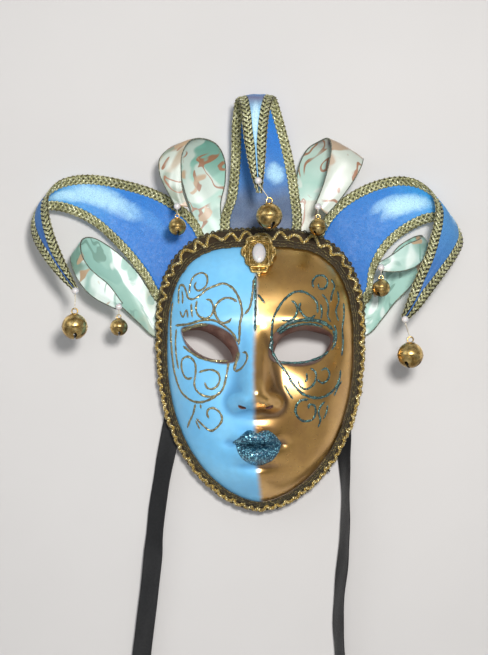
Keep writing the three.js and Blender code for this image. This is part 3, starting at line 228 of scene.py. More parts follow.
# The ties' middle lines: across the face, behind the rim, down the drop, and turn in degrees
LEFT_TIE_ROWS = [
    (-0.876, 0.1, 0.138, 0), (-0.9, 0.1, 0.207, 0), (-0.956, 0.1, 0.29, 8), (-1.02, 0.06, 0.386, 24),
    (-1.073, 0, 0.483, 26), (-1.105, -0.06, 0.572, 24), (-1.121, -0.09, 0.634, 6),
    (-1.158, -0.06, 0.731, 10), (-1.2, -0.03, 0.828, 6), (-1.238, 0, 0.917, 4), (-1.268, 0, 1, 4),
]
RIGHT_TIE_ROWS = [
    (0.827, 0.1, 0.179, 0), (0.843, 0.1, 0.241, 4), (0.868, 0.01, 0.324, 50), (0.882, -0.19, 0.421, 68),
    (0.88, -0.28, 0.524, 68), (0.858, -0.25, 0.628, 60), (0.821, -0.19, 0.731, 62),
    (0.809, -0.19, 0.828, 62), (0.827, -0.19, 0.917, 62), (0.846, -0.19, 1, 62),
]


# Vectors and smooth lines

AHEAD = np.array([0.0, -1.0, 0.0])
UP = np.array([0.0, 0.0, 1.0])


def unit(vectors):
    return vectors / np.maximum(np.linalg.norm(vectors, axis=-1, keepdims=True), 1e-9)


def smooth_row(rows, share):
    """Rows of numbers joined by a smooth curve, read at shares from 0 to 1."""
    rows = np.asarray(rows, float)
    at = np.clip(np.asarray(share, float), 0, 1) * (len(rows) - 1)
    first = np.minimum(len(rows) - 2, at.astype(int))
    t = (at - first)[..., None]
    before = rows[np.maximum(0, first - 1)]
    start = rows[first]
    end = rows[first + 1]
    after = rows[np.minimum(len(rows) - 1, first + 2)]
    pull = (end - before) / 2
    push = (after - start) / 2
    drop = end - start
    return start + t * (pull + t * (3 * drop - 2 * pull - push + t * (pull + push - 2 * drop)))


def smooth_loop(rows, count):
    """The same for a closed line."""
    rows = np.asarray(rows, float)
    wrapped = np.concatenate([rows[-2:], rows, rows[:3]])
    shares = (2 + np.arange(count) / count * len(rows)) / (len(wrapped) - 1)
    return smooth_row(wrapped, shares)


def lengths(path):
    """How far along a path each of its points lies."""
    steps = np.linalg.norm(np.diff(path, axis=0), axis=1)
    return np.concatenate([[0.0], np.cumsum(steps)])


def evenly(path, spacing):
    """Shares of a path's parameter at even distances along it, and those distances."""
    along = lengths(path)
    count = max(3, int(round(along[-1] / spacing)) + 1)
    places = np.linspace(0, along[-1], count)
    return np.interp(places, along, np.linspace(0, 1, len(path))), places


def frames(path, hint, closed=False):
    """Unit vectors to the side of a path and up from it. hint is roughly up."""
    if closed:
        run = unit(np.roll(path, -1, 0) - np.roll(path, 1, 0))
    else:
        run = unit(np.gradient(path, axis=0))
    side = unit(np.cross(run, np.broadcast_to(hint, path.shape)))
    return side, np.cross(side, run)


def circle(sides, radius, flat=1.0):
    turn = np.arange(sides) / sides * TAU
    return np.stack([radius * np.cos(turn), radius * flat * np.sin(turn)], -1)


# Meshes

def ring_faces(index, closed=False):
    """Faces between each row of points and the next. Each row runs round to its own start."""
    here, there = (index, np.roll(index, -1, 0)) if closed else (index[:-1], index[1:])
    ring = [here, np.roll(here, -1, 1), np.roll(there, -1, 1), there]
    return np.stack(ring, -1).reshape(-1, 4).tolist()


def two_skins(front, back):
    """A closed sheet given as two grids of points. Its faces run front, back, then edge."""
    index = np.arange(front[..., 0].size).reshape(front.shape[:2])
    faces = []
    for grid in (index, index + index.size):
        ring = [grid[:-1, :-1], grid[1:, :-1], grid[1:, 1:], grid[:-1, 1:]]
        faces += np.stack(ring, -1).reshape(-1, 4).tolist()
    edge = [*index[0, :], *index[1:, -1], *index[-1, -2::-1], *index[-2:0:-1, 0]]
    faces += [[a, b, b + index.size, a + index.size] for a, b in zip(edge, edge[1:] + edge[:1])]
    return np.concatenate([front.reshape(-1, 3), back.reshape(-1, 3)]), faces


def lay_for(points, along=0.0, across=0.0, share=0.0):
    """How far along and across a grid of points lies, in millimetres, and a free share."""
    lay = np.zeros_like(points)
    for column, values in enumerate((along, across, share)):
        lay[..., column] = values
    return lay


class Piece:
    """Points and faces gathered into one mesh. lay holds how far along and round each point is."""

    def __init__(self):
        self.points = []
        self.lay = []
        self.faces = []
        self.marks = []
        self.count = 0

    def add(self, points, faces, lay=None, mark=0):
        points = np.asarray(points, float).reshape(-1, 3)
        lay = np.zeros_like(points) if lay is None else np.asarray(lay, float).reshape(-1, 3)
        self.points.append(points)
        self.lay.append(lay)
        self.faces.extend([[corner + self.count for corner in face] for face in faces])
        self.marks.extend([mark] * len(faces))
        self.count += len(points)

    def sweep(self, path, side, up, section, closed=False, mark=0, share=0.0):
        """A closed section run along a path. It may change from point to point."""
        section = np.asarray(section, float)
        section = np.broadcast_to(section, (len(path), *section.shape[-2:]))
        count, around = section.shape[:2]
        points = path[:, None] + side[:, None] * section[..., :1] + up[:, None] * section[..., 1:]
        lay = lay_for(points, lengths(path)[:, None], np.arange(around) / around, share)
        index = np.arange(count * around).reshape(count, around)
        faces = ring_faces(index, closed)
        if not closed:
            faces += [index[0][::-1].tolist(), index[-1].tolist()]
        self.add(points, faces, lay, mark)

    def tube(self, path, radius, sides=6, hint=UP, closed=False, flat=1.0, mark=0, share=0.0):
        side, up = frames(path, hint, closed)
        section = circle(sides, 1.0, flat)[None] * np.broadcast_to(radius, len(path))[:, None, None]
        self.sweep(path, side, up, section, closed, mark, share)

    def ball(self, centre, radii, around=24, rows=14, mark=0):
        rings = []
        for row in range(1, rows):
            turn = math.pi * row / rows
            ring = circle(around, math.sin(turn))
            rings.append(np.stack([ring[:, 0], ring[:, 1], np.full(around, math.cos(turn))], -1))
        points = np.concatenate([[[0, 0, 1]], *rings, [[0, 0, -1]]])
        index = 1 + np.arange((rows - 1) * around).reshape(rows - 1, around)
        faces = ring_faces(index)
        last = len(points) - 1
        for step in range(around):
            after = (step + 1) % around
            faces.append([0, index[0, step], index[0, after]])
            faces.append([last, index[-1, after], index[-1, step]])
        self.add(np.asarray(centre) + points * np.asarray(radii), faces, points, mark)

    def mesh(self, name):
        points = np.concatenate(self.points) * MM
        mesh = bpy.data.meshes.new(name)
        mesh.from_pydata(points.tolist(), [], self.faces)
        lay = mesh.attributes.new("lay", "FLOAT_VECTOR", "POINT")
        lay.data.foreach_set("vector", np.concatenate(self.lay).ravel())
        mesh.polygons.foreach_set("material_index", np.array(self.marks, np.int32))
        shell = bmesh.new()
        shell.from_mesh(mesh)
        bmesh.ops.recalc_face_normals(shell, faces=shell.faces)
        shell.to_mesh(mesh)
        shell.free()
        return mesh

    def make(self, name, *finishes, **riding):
        return placed(name, self.mesh(name), *finishes, **riding)


def placed(name, mesh, *finishes, body="mask", slot=None, replaces=(), sharp=None):
    """An object for a mesh, riding on a body. Edges steeper than sharp, in degrees, stay crisp."""
    if not mesh.materials:
        for finish in finishes:
            mesh.materials.append(finish)
    mesh.shade_smooth()
    if sharp is not None:
        mesh.set_sharp_from_angle(angle=math.radians(sharp))
    mesh.update()
    obj = bpy.data.objects.new(name, mesh)
    bpy.context.scene.collection.objects.link(obj)
    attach(obj, body)
    if replaces:
        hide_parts(*replaces)
    return obj


def slab(piece, points, normals, thickness, lay):
    """A sheet given as a grid of middle points, closed all round."""
    half = np.broadcast_to(np.asarray(thickness, float) / 2, points.shape[:2])[..., None]
    both, faces = two_skins(points + normals * half, points - normals * half)
    piece.add(both, faces, np.concatenate([lay.reshape(-1, 3)] * 2))


# Node helpers

def colour(red, green, blue):
    """A colour given as it looks on a screen, 0 to 255."""
    def linear(value):
        value /= 255
        return value / 12.92 if value <= 0.04045 else ((value + 0.055) / 1.055) ** 2.4
    return (linear(red), linear(green), linear(blue), 1.0)


def feed(tree, node, inputs):
    """Links or sets a node's inputs. Three numbers for a colour are as it looks on a screen."""
    for key, value in inputs.items():
        socket = node.inputs[key]
        if isinstance(value, bpy.types.NodeSocket):
            tree.links.new(value, socket)
        elif socket.type == "RGBA" and len(value) == 3:
            socket.default_value = colour(*value)
        else:
            socket.default_value = value


def add(tree, kind, inputs=None, **settings):
    node = tree.nodes.new("ShaderNode" + kind)
    for key, value in settings.items():
        setattr(node, key, value)
    feed(tree, node, inputs or {})
    return node


def maths(tree, operation, first, second=0.0, third=0.0):
    return add(tree, "Math", {0: first, 1: second, 2: third}, operation=operation).outputs[0]


def times(tree, first, second, plus=None):
    if plus is None:
        return maths(tree, "MULTIPLY", first, second)
    return maths(tree, "MULTIPLY_ADD", first, second, plus)


def between(tree, value, low, high, to_low=0.0, to_high=1.0):
    """Maps a value softly from one range to another, held at its ends."""
    inputs = {"Value": value, "From Min": low, "From Max": high, "To Min": to_low, "To Max": to_high}
    return add(tree, "MapRange", inputs, interpolation_type="SMOOTHSTEP", clamp=True).outputs[0]


def mixed(tree, share, first, second):
    node = add(tree, "Mix", data_type="RGBA", clamp_factor=True)
    feed(tree, node, {0: share, 6: first, 7: second})
    return node.outputs[2]


def ramp(tree, value, stops):
    """A colour for each value. A stop is its place and its colour as it looks on a screen."""
    node = add(tree, "ValToRGB", {0: value})
    elements = node.color_ramp.elements
    while len(elements) < len(stops):
        elements.new(1.0)
    for element, (place, shade) in zip(elements, stops):
        element.position = place
        element.color = colour(*shade)
    return node.outputs[0]


def noise(tree, vector, size, detail=3.0, rough=0.55, bend=0.0, output=0):
    """Cloudy noise whose features are about size millimetres across."""
    inputs = {"Vector": vector, "Scale": 1 / (size * MM), "Detail": detail, "Roughness": rough,
              "Distortion": bend}
    return add(tree, "TexNoise", inputs).outputs[output]


def relief_normal(tree, height, depth, strength):
    """Bump of a height from 0 to 1 that stands for depth millimetres."""
    return add(tree, "Bump", {"Height": height, "Distance": depth * MM, "Strength": strength}).outputs[0]


def new_group(name, inputs, outputs):
    """A shader group with its sockets: inputs as (name, kind, default), outputs as (name, kind)."""
    tree = bpy.data.node_groups.new(name, "ShaderNodeTree")
    for label, kind, default in inputs:
        socket = tree.interface.new_socket(label, in_out="INPUT", socket_type="NodeSocket" + kind)
        if default is not None:
            socket.default_value = default
    for label, kind in outputs:
        tree.interface.new_socket(label, in_out="OUTPUT", socket_type="NodeSocket" + kind)
    return tree, tree.nodes.new("NodeGroupInput"), tree.nodes.new("NodeGroupOutput")


def use(tree, group, **inputs):
    node = tree.nodes.new("ShaderNodeGroup")
    node.node_tree = group
    feed(tree, node, {key.replace("_", " "): value for key, value in inputs.items()})
    return node.outputs


class Finish:
    """A material: its Principled shader, its nodes and the coordinates that they read."""

    def __init__(self, name, **settings):
        self.material = bpy.data.materials.new(name)
        self.material.use_nodes = True
        self.tree = self.material.node_tree
        self.shader = next(n for n in self.tree.nodes if n.type == "BSDF_PRINCIPLED")
        self.set(**settings)
        self.place = add(self.tree, "TexCoord").outputs["Object"]

    def lay(self):
        """How far along, how far round or across, and a free share, as stored on the mesh."""
        node = add(self.tree, "Attribute", attribute_name="lay")
        parts = add(self.tree, "SeparateXYZ", {0: node.outputs["Vector"]}).outputs
        return parts[0], parts[1], parts[2]

    def mark(self, name):
        return add(self.tree, "Attribute", attribute_name=name).outputs["Fac"]

    def set(self, **inputs):
        feed(self.tree, self.shader, {key.replace("_", " "): value for key, value in inputs.items()})
        return self.material


# Shared effects

def make_wear():
    """Soft patches of handling and dust."""
    tree, given, put = new_group(
        "wear_patches",
        [("Place", "Vector", None), ("Size", "Float", 20.0), ("Amount", "Float", 0.5)],
        [("Mask", "Float"), ("Fine", "Float")])
    scale = maths(tree, "DIVIDE", 1 / MM, given.outputs["Size"])
    broad = add(tree, "TexNoise", {"Vector": given.outputs["Place"], "Scale": scale, "Detail": 4.0})
    fine_scale = times(tree, scale, 9.0)
    fine = add(tree, "TexNoise", {"Vector": given.outputs["Place"], "Scale": fine_scale, "Detail": 5.0})
    both = times(tree, fine.outputs[0], 0.35, broad.outputs[0])
    shown = between(tree, both, 0.55, 0.85)
    feed(tree, put, {"Mask": times(tree, shown, given.outputs["Amount"]), "Fine": fine.outputs[0]})
    return tree


def make_glitter():
    """Flakes in glue: a bright mask, a shade for each flake and a facing for each flake."""
    tree, given, put = new_group(
        "glitter_flakes",
        [("Place", "Vector", None), ("Size", "Float", 0.5), ("Share", "Float", 0.4),
        ("Tilt", "Float", 0.7)],
        [("Fleck", "Float"), ("Shade", "Float"), ("Normal", "Vector")])
    scale = maths(tree, "DIVIDE", 1 / MM, given.outputs["Size"])
    flake = add(tree, "TexVoronoi", {"Vector": given.outputs["Place"], "Scale": scale})
    parts = add(tree, "SeparateColor", {0: flake.outputs["Color"]}).outputs
    limit = maths(tree, "SUBTRACT", 1.0, given.outputs["Share"])
    fleck = between(tree, parts[0], maths(tree, "SUBTRACT", limit, 0.08), maths(tree, "ADD", limit, 0.08))
    spread = add(tree, "VectorMath", {0: flake.outputs["Color"], 1: (0.5, 0.5, 0.5)},
            operation="SUBTRACT")
    tilt = add(tree, "VectorMath", {0: spread.outputs[0], 3: given.outputs["Tilt"]}, operation="SCALE")
    facing = add(tree, "NewGeometry").outputs["Normal"]
    tilted = add(tree, "VectorMath", {0: facing, 1: tilt.outputs[0]}, operation="ADD")
    normal = add(tree, "VectorMath", {0: tilted.outputs[0]}, operation="NORMALIZE")
    feed(tree, put, {"Fleck": fleck, "Shade": parts[1], "Normal": normal.outputs[0]})
    return tree


def make_twist():
    """Strands laid round a cord. Along is in millimetres, Round from 0 to 1."""
    tree, given, put = new_group(
        "twisted_strands",
        [("Along", "Float", 0.0), ("Round", "Float", 0.0), ("Pitch", "Float", 2.0),
        ("Strands", "Float", 2.0)],
        [("Height", "Float"), ("Strand", "Float")])
    turn = maths(tree, "DIVIDE", given.outputs["Along"], given.outputs["Pitch"])
    at = times(tree, given.outputs["Round"], given.outputs["Strands"], turn)
    wave = maths(tree, "SINE", times(tree, at, math.pi))
    height = maths(tree, "POWER", maths(tree, "ABSOLUTE", wave), 0.6)
    strand = maths(tree, "FRACT", times(tree, maths(tree, "FLOOR", at), 0.37))
    feed(tree, put, {"Height": height, "Strand": strand})
    return tree


def make_weave():
    """Plain or ribbed weave. Along and Across are in millimetres, Thread is one thread's width."""
    tree, given, put = new_group(
        "woven_threads",
        [("Along", "Float", 0.0), ("Across", "Float", 0.0), ("Thread", "Float", 0.5),
        ("Rib", "Float", 0.0)],
        [("Height", "Float"), ("Over", "Float")])
    along = maths(tree, "DIVIDE", given.outputs["Along"], given.outputs["Thread"])
    across = maths(tree, "DIVIDE", given.outputs["Across"], given.outputs["Thread"])
    first = maths(tree, "SINE", times(tree, along, math.pi))
    second = maths(tree, "SINE", times(tree, across, math.pi))
    plain = times(tree, first, second)
    ribs = maths(tree, "ABSOLUTE", first)
    over = between(tree, plain, -0.3, 0.3)
    height = add(tree, "Mix", {0: given.outputs["Rib"], 2: times(tree, plain, 0.5, 0.5), 3: ribs})
    feed(tree, put, {"Height": height.outputs[0], "Over": over})
    return tree


WEAR = make_wear()
GLITTER = make_glitter()
TWIST = make_twist()
WEAVE = make_weave()


# Finishes

def face_paint():
    """Sky blue on one half and antique gold on the other, meeting in a soft line."""
    made = Finish("face_paint", Coat_Roughness=0.26, Coat_IOR=2.0, Specular_IOR_Level=0.45)
    tree, place = made.tree, made.place
    wobble = maths(tree, "SUBTRACT", noise(tree, place, 4, 4), 0.5)
    side = times(tree, wobble, 2.0, made.mark("gold_side"))
    gold = between(tree, side, -3.2, 3.2)
    wear = use(tree, WEAR, Place=place, Size=26.0, Amount=1.0)
    grain = use(tree, WEAR, Place=place, Size=5.0, Amount=1.0)
    blue = ramp(tree, noise(tree, place, 34, 4), [
        (0.3, (108, 182, 228)), (0.5, (118, 192, 236)), (0.7, (130, 200, 240))])
    blue = mixed(tree, times(tree, grain["Mask"], 0.2), blue, (112, 172, 208))
    blue = mixed(tree, times(tree, made.mark("recess"), 0.45), blue, (66, 126, 178))
    antique = ramp(tree, noise(tree, place, 30, 3, 0.5, 0.4), [
        (0.3, (186, 138, 64)), (0.5, (208, 160, 76)), (0.68, (220, 174, 90))])
    antique = mixed(tree, times(tree, wear["Mask"], 0.2), antique, (150, 104, 60))
    antique = mixed(tree, times(tree, made.mark("recess"), 0.7), antique, (84, 56, 36))
    base = mixed(tree, gold, blue, antique)
    base = mixed(tree, between(tree, made.mark("hole_edge"), 1.6, 0.1, 0.0, 0.75), base, (74, 62, 60))
    rough = add(tree, "Mix", {0: gold, 2: 0.42, 3: 0.25}).outputs[0]
    rough = times(tree, wear["Fine"], 0.07, rough)
    height = noise(tree, place, 3.0, 1)
    return made.set(Base_Color=base, Metallic=times(tree, gold, 0.88), Roughness=rough,
                    Coat_Weight=times(tree, gold, 0.6, 0.06),
                    Normal=relief_normal(tree, height, 0.05, 0.3))


HIDE_GRAIN = 0.9


def face_lining():
    """Reddish brown hide inside the shell and in the eye holes."""
    made = Finish("face_lining", Specular_IOR_Level=0.35)
    tree, place = made.tree, made.place
    wear = use(tree, WEAR, Place=place, Size=14.0, Amount=0.8)
    base = ramp(tree, noise(tree, place, 9, 5, 0.6, 0.8), [
        (0.3, (78, 52, 46)), (0.55, (108, 74, 64)), (0.75, (134, 98, 86))])
    base = mixed(tree, wear["Mask"], base, (134, 108, 96))
    creases = add(tree, "TexVoronoi", {"Vector": place, "Scale": 1 / (HIDE_GRAIN * MM)},
                  feature="DISTANCE_TO_EDGE").outputs[0]
    height = maths(tree, "ADD", between(tree, creases, 0.0, 0.3), noise(tree, place, 4, 3))
    return made.set(Base_Color=base, Roughness=between(tree, wear["Fine"], 0.3, 0.7, 0.55, 0.8),
                    Normal=relief_normal(tree, height, 0.25, 0.6))


def glitter_paint(name, dark, middle, bright, share=0.4, flake=0.5, metallic=0.75, seam=0.0):
    """Flakes in glue. seam darkens the paint towards the mouth's line, as painted shade in the crease
    between the lips.
    """
    made = Finish(name, Coat_Weight=0.4, Coat_Roughness=0.14)
    tree, place = made.tree, made.place
    flakes = use(tree, GLITTER, Place=place, Size=flake, Share=share, Tilt=0.9)
    base = mixed(tree, flakes["Shade"], dark, middle)
    base = mixed(tree, flakes["Fleck"], base, bright)
    # Painted shade along the crease between the lips
    if seam:
        base = mixed(tree, between(tree, made.lay()[2], 0.62, 1.0, 0.0, seam), base, dark)
    return made.set(Base_Color=base, Metallic=times(tree, flakes["Fleck"], 0.25, metallic - 0.25),
                    Roughness=between(tree, flakes["Fleck"], 0.0, 1.0, 0.45, 0.2),
                    Normal=flakes["Normal"])


# The shade painted between the velvet's piles, and the colour of the highlights painted on it
DEEP = (8, 36, 96)
PAINTED_GLEAM = (184, 232, 254)


def velvet(name, stops, painted_highlights):
    """Short pile with a satin gleam. stops colour it along the point, their lighter and darker bands
    partly painted light and shade, and each patch row is a painted highlight: where along (a share) and
    across (mm) its middle is, how far it reaches each way, how strong it is and its colour."""
    made = Finish(name, Sheen_Weight=0.14, Sheen_Roughness=0.3, Sheen_Tint=(120, 190, 250),
                  Specular_IOR_Level=0.3)
    tree, place = made.tree, made.place
    along, across, share = made.lay()
    wear = use(tree, WEAR, Place=place, Size=24.0, Amount=1.0)
    drift = times(tree, maths(tree, "SUBTRACT", noise(tree, place, 30, 3), 0.5), 0.08, share)
    base = ramp(tree, drift, stops)
    ragged = times(tree, noise(tree, place, 9, 5, 0.6, 0.8), 1.3, -0.65)
    # Each row paints a patch of highlight on the pile
    for middle, side, long, wide, strength, shade in painted_highlights:
        first = maths(tree, "DIVIDE", maths(tree, "SUBTRACT", share, middle), long)
        second = maths(tree, "DIVIDE", maths(tree, "SUBTRACT", across, side), wide)
        away = maths(tree, "ADD", maths(tree, "POWER", maths(tree, "ABSOLUTE", first), 2.0),
                     maths(tree, "POWER", maths(tree, "ABSOLUTE", second), 2.0))
        patch = between(tree, maths(tree, "ADD", away, ragged), 1.3, 0.0, 0.0, strength)
        base = mixed(tree, patch, base, shade)
    crushed = between(tree, noise(tree, place, 12, 5, 0.65, 1.2), 0.42, 0.7)
    base = mixed(tree, times(tree, crushed, 0.07), base, (126, 184, 230))
    pile = noise(tree, place, 0.55, 2)
    base = mixed(tree, between(tree, pile, 0.62, 0.3, 0.0, 0.4), base, DEEP)
    rough = between(tree, wear["Fine"], 0.3, 0.7, 0.38, 0.52)
    height = times(tree, crushed, 0.5, pile)
    return made.set(Base_Color=base, Roughness=rough, Normal=relief_normal(tree, height, 0.25, 0.6))


def cord_finish(name, dark, middle, bright, pitch=1.6, strands=2.0, metallic=0.35, rough=0.42, depth=0.3):
    """Metallic thread twisted into a cord, with painted shade in the grooves between its strands and
    painted glints on them.
    """
    made = Finish(name, Sheen_Weight=0.1)
    tree, place = made.tree, made.place
    along, around, _ = made.lay()
    twist = use(tree, TWIST, Along=along, Round=around, Pitch=pitch, Strands=strands)
    # Painted shade: darker in the grooves between the strands
    base = mixed(tree, twist["Height"], dark, middle)
    # Painted highlight: bright glints on the strands' crowns, where the cord is also glossier
    gleam = between(tree, noise(tree, place, 1.8, 3), 0.48, 0.62)
    base = mixed(tree, times(tree, gleam, twist["Height"]), base, bright)
    age = use(tree, WEAR, Place=place, Size=18.0, Amount=0.45)
    base = mixed(tree, age["Mask"], base, dark)
    return made.set(Base_Color=base, Metallic=times(tree, twist["Height"], metallic),
                    Roughness=between(tree, gleam, 0.0, 1.0, rough + 0.12, rough),
                    Normal=relief_normal(tree, twist["Height"], depth, 0.8))


def woven_tape(name, dark, middle, thread=0.6, rib=0.0, sheen=0.3, rough=0.7):
    made = Finish(name, Sheen_Weight=sheen, Specular_IOR_Level=0.35)
    tree, place = made.tree, made.place
    along, across, _ = made.lay()
    weave = use(tree, WEAVE, Along=along, Across=across, Thread=thread, Rib=rib)
    age = use(tree, WEAR, Place=place, Size=16.0, Amount=0.7)
    # Painted shade: darker in the dips between the threads
    base = mixed(tree, weave["Height"], dark, middle)
    base = mixed(tree, times(tree, age["Mask"], 0.5), base, dark)
    height = times(tree, age["Fine"], 0.25, weave["Height"])
    return made.set(Base_Color=base, Roughness=between(tree, age["Fine"], 0.3, 0.7, rough, rough + 0.12),
                    Normal=relief_normal(tree, height, 0.2, 0.6))


# The print's marks are about this many millimetres across, and its blots are sandy
PRINT_SIZE = 27.0
SAND = (176, 150, 120)


def printed(name, stops, marks, pale, deep, turn=0.0):
    """Glossy printed ribbon: a ground that changes along it, with painted shade in its dark band where it
    folds, deep leaves, pale streaks and brush marks.
    turn gives each ribbon its own stretch of the print."""
    made = Finish(name, Sheen_Weight=0.25, Sheen_Roughness=0.4, Coat_Weight=0.25, Coat_Roughness=0.3)
    tree, place = made.tree, made.place
    along, across, share = made.lay()
    drift = times(tree, maths(tree, "SUBTRACT", noise(tree, place, 22, 2), 0.5), 0.22, share)
    # The ground's dark middle stop is painted shade along the fold
    ground = ramp(tree, drift, stops)
    flat = add(tree, "CombineXYZ", {
        0: times(tree, along, MM), 1: times(tree, across, MM), 2: turn}).outputs[0]
    leaf = between(tree, noise(tree, flat, PRINT_SIZE * 1.1, 1, 0.3, 0.8, 1), 0.5, 0.56)
    ground = mixed(tree, times(tree, leaf, 0.5), ground, deep)
    streak = between(tree, noise(tree, flat, PRINT_SIZE * 1.3, 1, 0.4, 1.2), 0.52, 0.6)
    ground = mixed(tree, times(tree, streak, 0.85), ground, pale)
    brush = noise(tree, flat, PRINT_SIZE * 1.2, 1, 0.5, 1.6)
    line = maths(tree, "ABSOLUTE", maths(tree, "SUBTRACT", brush, 0.48))
    patches = between(tree, noise(tree, flat, PRINT_SIZE * 1.6, 1), 0.44, 0.5)
    mark = times(tree, between(tree, line, 0.034, 0.022), patches)
    base = mixed(tree, times(tree, mark, 0.9), ground, marks)
    blot = between(tree, noise(tree, flat, PRINT_SIZE * 0.8, 1, 0.5, 0.8), 0.66, 0.69)
    base = mixed(tree, blot, base, SAND)
    weave = use(tree, WEAVE, Along=along, Across=across, Thread=0.25, Rib=0.3)
    base = mixed(tree, times(tree, weave["Height"], 0.1), base, (84, 92, 84))
    return made.set(Base_Color=base, Roughness=between(tree, streak, 0.0, 1.0, 0.42, 0.32),
                    Normal=relief_normal(tree, weave["Height"], 0.06, 0.4))


def pearl_finish(name):
    made = Finish(name, Roughness=0.16, Coat_Weight=0.8, Coat_Roughness=0.06, Subsurface_Weight=0.12,
                  Subsurface_Scale=0.002)
    tree, place = made.tree, made.place
    # Painted shade: the pearl grows darker and browner towards its edge as seen
    edge = add(tree, "LayerWeight", {"Blend": 0.35}).outputs["Facing"]
    base = ramp(tree, edge, [(0.0, (206, 205, 204)), (0.5, (186, 184, 187)), (1.0, (140, 132, 126))])
    # Painted lustre: pale pink patches of sheen
    lustre = between(tree, noise(tree, place, 3, 3, 0.5, 1.0), 0.4, 0.7)
    base = mixed(tree, times(tree, lustre, 0.25), base, (238, 222, 214))
    return made.set(Base_Color=base, Normal=relief_normal(tree, noise(tree, place, 1.6, 3), 0.02, 0.3))


def metal_finish(name, dark, middle, bright, rough=0.26, size=5.0, underside_shade=0.0, depth=0.06, tarnish=0.7):
    """Worn brass. What faces down is darkened, as painted shade on the underside."""
    made = Finish(name, Metallic=1.0)
    tree, place = made.tree, made.place
    age = use(tree, WEAR, Place=place, Size=size, Amount=tarnish)
    base = ramp(tree, noise(tree, place, size * 0.8, 4), [(0.35, middle), (0.62, bright)])
    base = mixed(tree, age["Mask"], base, dark)
    # Painted shade: darker where the surface faces down
    facing = add(tree, "SeparateXYZ", {0: add(tree, "NewGeometry").outputs["Normal"]}).outputs[2]
    base = mixed(tree, between(tree, facing, -0.15, -0.8, 0.0, underside_shade), base, dark)
    height = times(tree, noise(tree, place, 0.8, 3), 0.4, age["Fine"])
    return made.set(Base_Color=base,
            Roughness=between(tree, age["Fine"], 0.25, 0.75, rough, rough + 0.16),
                    Normal=relief_normal(tree, height, depth, 0.5))


# The pale wall and floor, and the light clouds over them
STAGE_PALE = (198, 196, 194)
STAGE_CLOUD = (0.95, 0.93, 0.92, 1)


def plain_stage(name, rough, see_through=False):
    """A pale plain surface. A see-through one is clear from behind and lets the light behind it past."""
    made = Finish(name, Roughness=rough, Specular_IOR_Level=0.2)
    tree = made.tree
    cloud = noise(tree, made.place, 180, 3)
    made.set(Base_Color=mixed(tree, times(tree, cloud, 0.12), STAGE_PALE, STAGE_CLOUD))
    if see_through:
        clear = add(tree, "BsdfTransparent")
        behind = add(tree, "NewGeometry").outputs["Backfacing"]
        lit_through = add(tree, "LightPath").outputs["Is Shadow Ray"]
        choice = add(tree, "MixShader", {
            0: maths(tree, "MAXIMUM", behind, lit_through), 1: made.shader.outputs[0],
            2: clear.outputs[0]})
        output = next(n for n in tree.nodes if n.type == "OUTPUT_MATERIAL")
        tree.links.new(choice.outputs[0], output.inputs["Surface"])
    return made.material


# The face's surface, from the same sizes as the part

def bulge(share, bend):
    power, root = bend
    return np.maximum(0.0, 1 - np.clip(share, 0, 1) ** power) ** root


def rim_half_width(z):
    return FACE_HALF_WIDTH * np.where(z >= 0, bulge(z / FACE_RISE, CROWN_BEND),
            bulge(-z / FACE_DROP, JAW_BEND))


RIM_HALVINGS = 40
RIM_STEPS = 5761


def solve_rim(angles):
    inside = np.zeros_like(angles)
    outside = np.full_like(angles, FACE_RISE + FACE_DROP)
    for _ in range(RIM_HALVINGS):
        radius = (inside + outside) / 2
        z = GRID_MIDDLE_Z + radius * np.sin(angles)
        beside = np.abs(radius * np.cos(angles)) < rim_half_width(z)
        within = (z < FACE_RISE) & (z > -FACE_DROP) & beside
        inside = np.where(within, radius, inside)
        outside = np.where(within, outside, radius)
    return (inside + outside) / 2


RIM_ANGLES = np.linspace(-math.pi, math.pi, RIM_STEPS)
RIM_RADII = solve_rim(RIM_ANGLES)


def rim_radius(angle):
    wrapped = (np.asarray(angle, float) + math.pi) % TAU - math.pi
    return np.interp(wrapped, RIM_ANGLES, RIM_RADII)


NOSE_LINE = smooth_row(NOSE_SECTIONS, np.linspace(0, 1, 200))


def nose_rise(x, z):
    down = (NOSE_TOP_UP * FACE_DROP - z) / NOSE_LENGTH
    rise = np.interp(down, NOSE_LINE[:, 0], NOSE_LINE[:, 1], left=0, right=0)
    half = np.interp(down, NOSE_LINE[:, 0], NOSE_LINE[:, 2]) * NOSE_WIDTH
    return np.maximum(0, rise) * NOSE_RISE * np.exp(-((np.abs(x) / half) ** NOSE_BEND))


def relief(x, z):
    total = 0.0
    for across, up, wide, tall, rise, firm, paired in RELIEF:
        for side in (1, -1) if paired else (1,):
            first = (x - side * across * FACE_HALF_WIDTH) / (wide * FACE_HALF_WIDTH)
            second = (z - up * FACE_DROP) / (tall * FACE_DROP)
            total = total + rise * FACE_DEPTH * np.exp(-((first * first + second * second) ** firm))
    return total


def face_y(x, z):
    x, z = np.asarray(x, float), np.asarray(z, float)
    share = np.hypot(x, z - GRID_MIDDLE_Z) / rim_radius(np.arctan2(z - GRID_MIDDLE_Z, x))
    fade = 1 - np.clip(share, 0, 1) ** RELIEF_FADE
    across = x - FACE_LEAN * FACE_HALF_WIDTH
    return -(FACE_DEPTH * bulge(share, DOME_BEND) + fade * (relief(across, z) + nose_rise(across, z)))


def face_normal(x, z, step=0.4):
    slope_x = (face_y(x + step, z) - face_y(x - step, z)) / (2 * step)
    slope_z = (face_y(x, z + step) - face_y(x, z - step)) / (2 * step)
    return unit(np.stack([slope_x, -np.ones_like(slope_x), slope_z], -1))


def on_surface(x, z, lift=0.0):
    """Points on the face, raised along its normal, and the normals."""
    normal = face_normal(x, z)
    return np.stack([x, face_y(x, z), z], -1) + normal * lift, normal


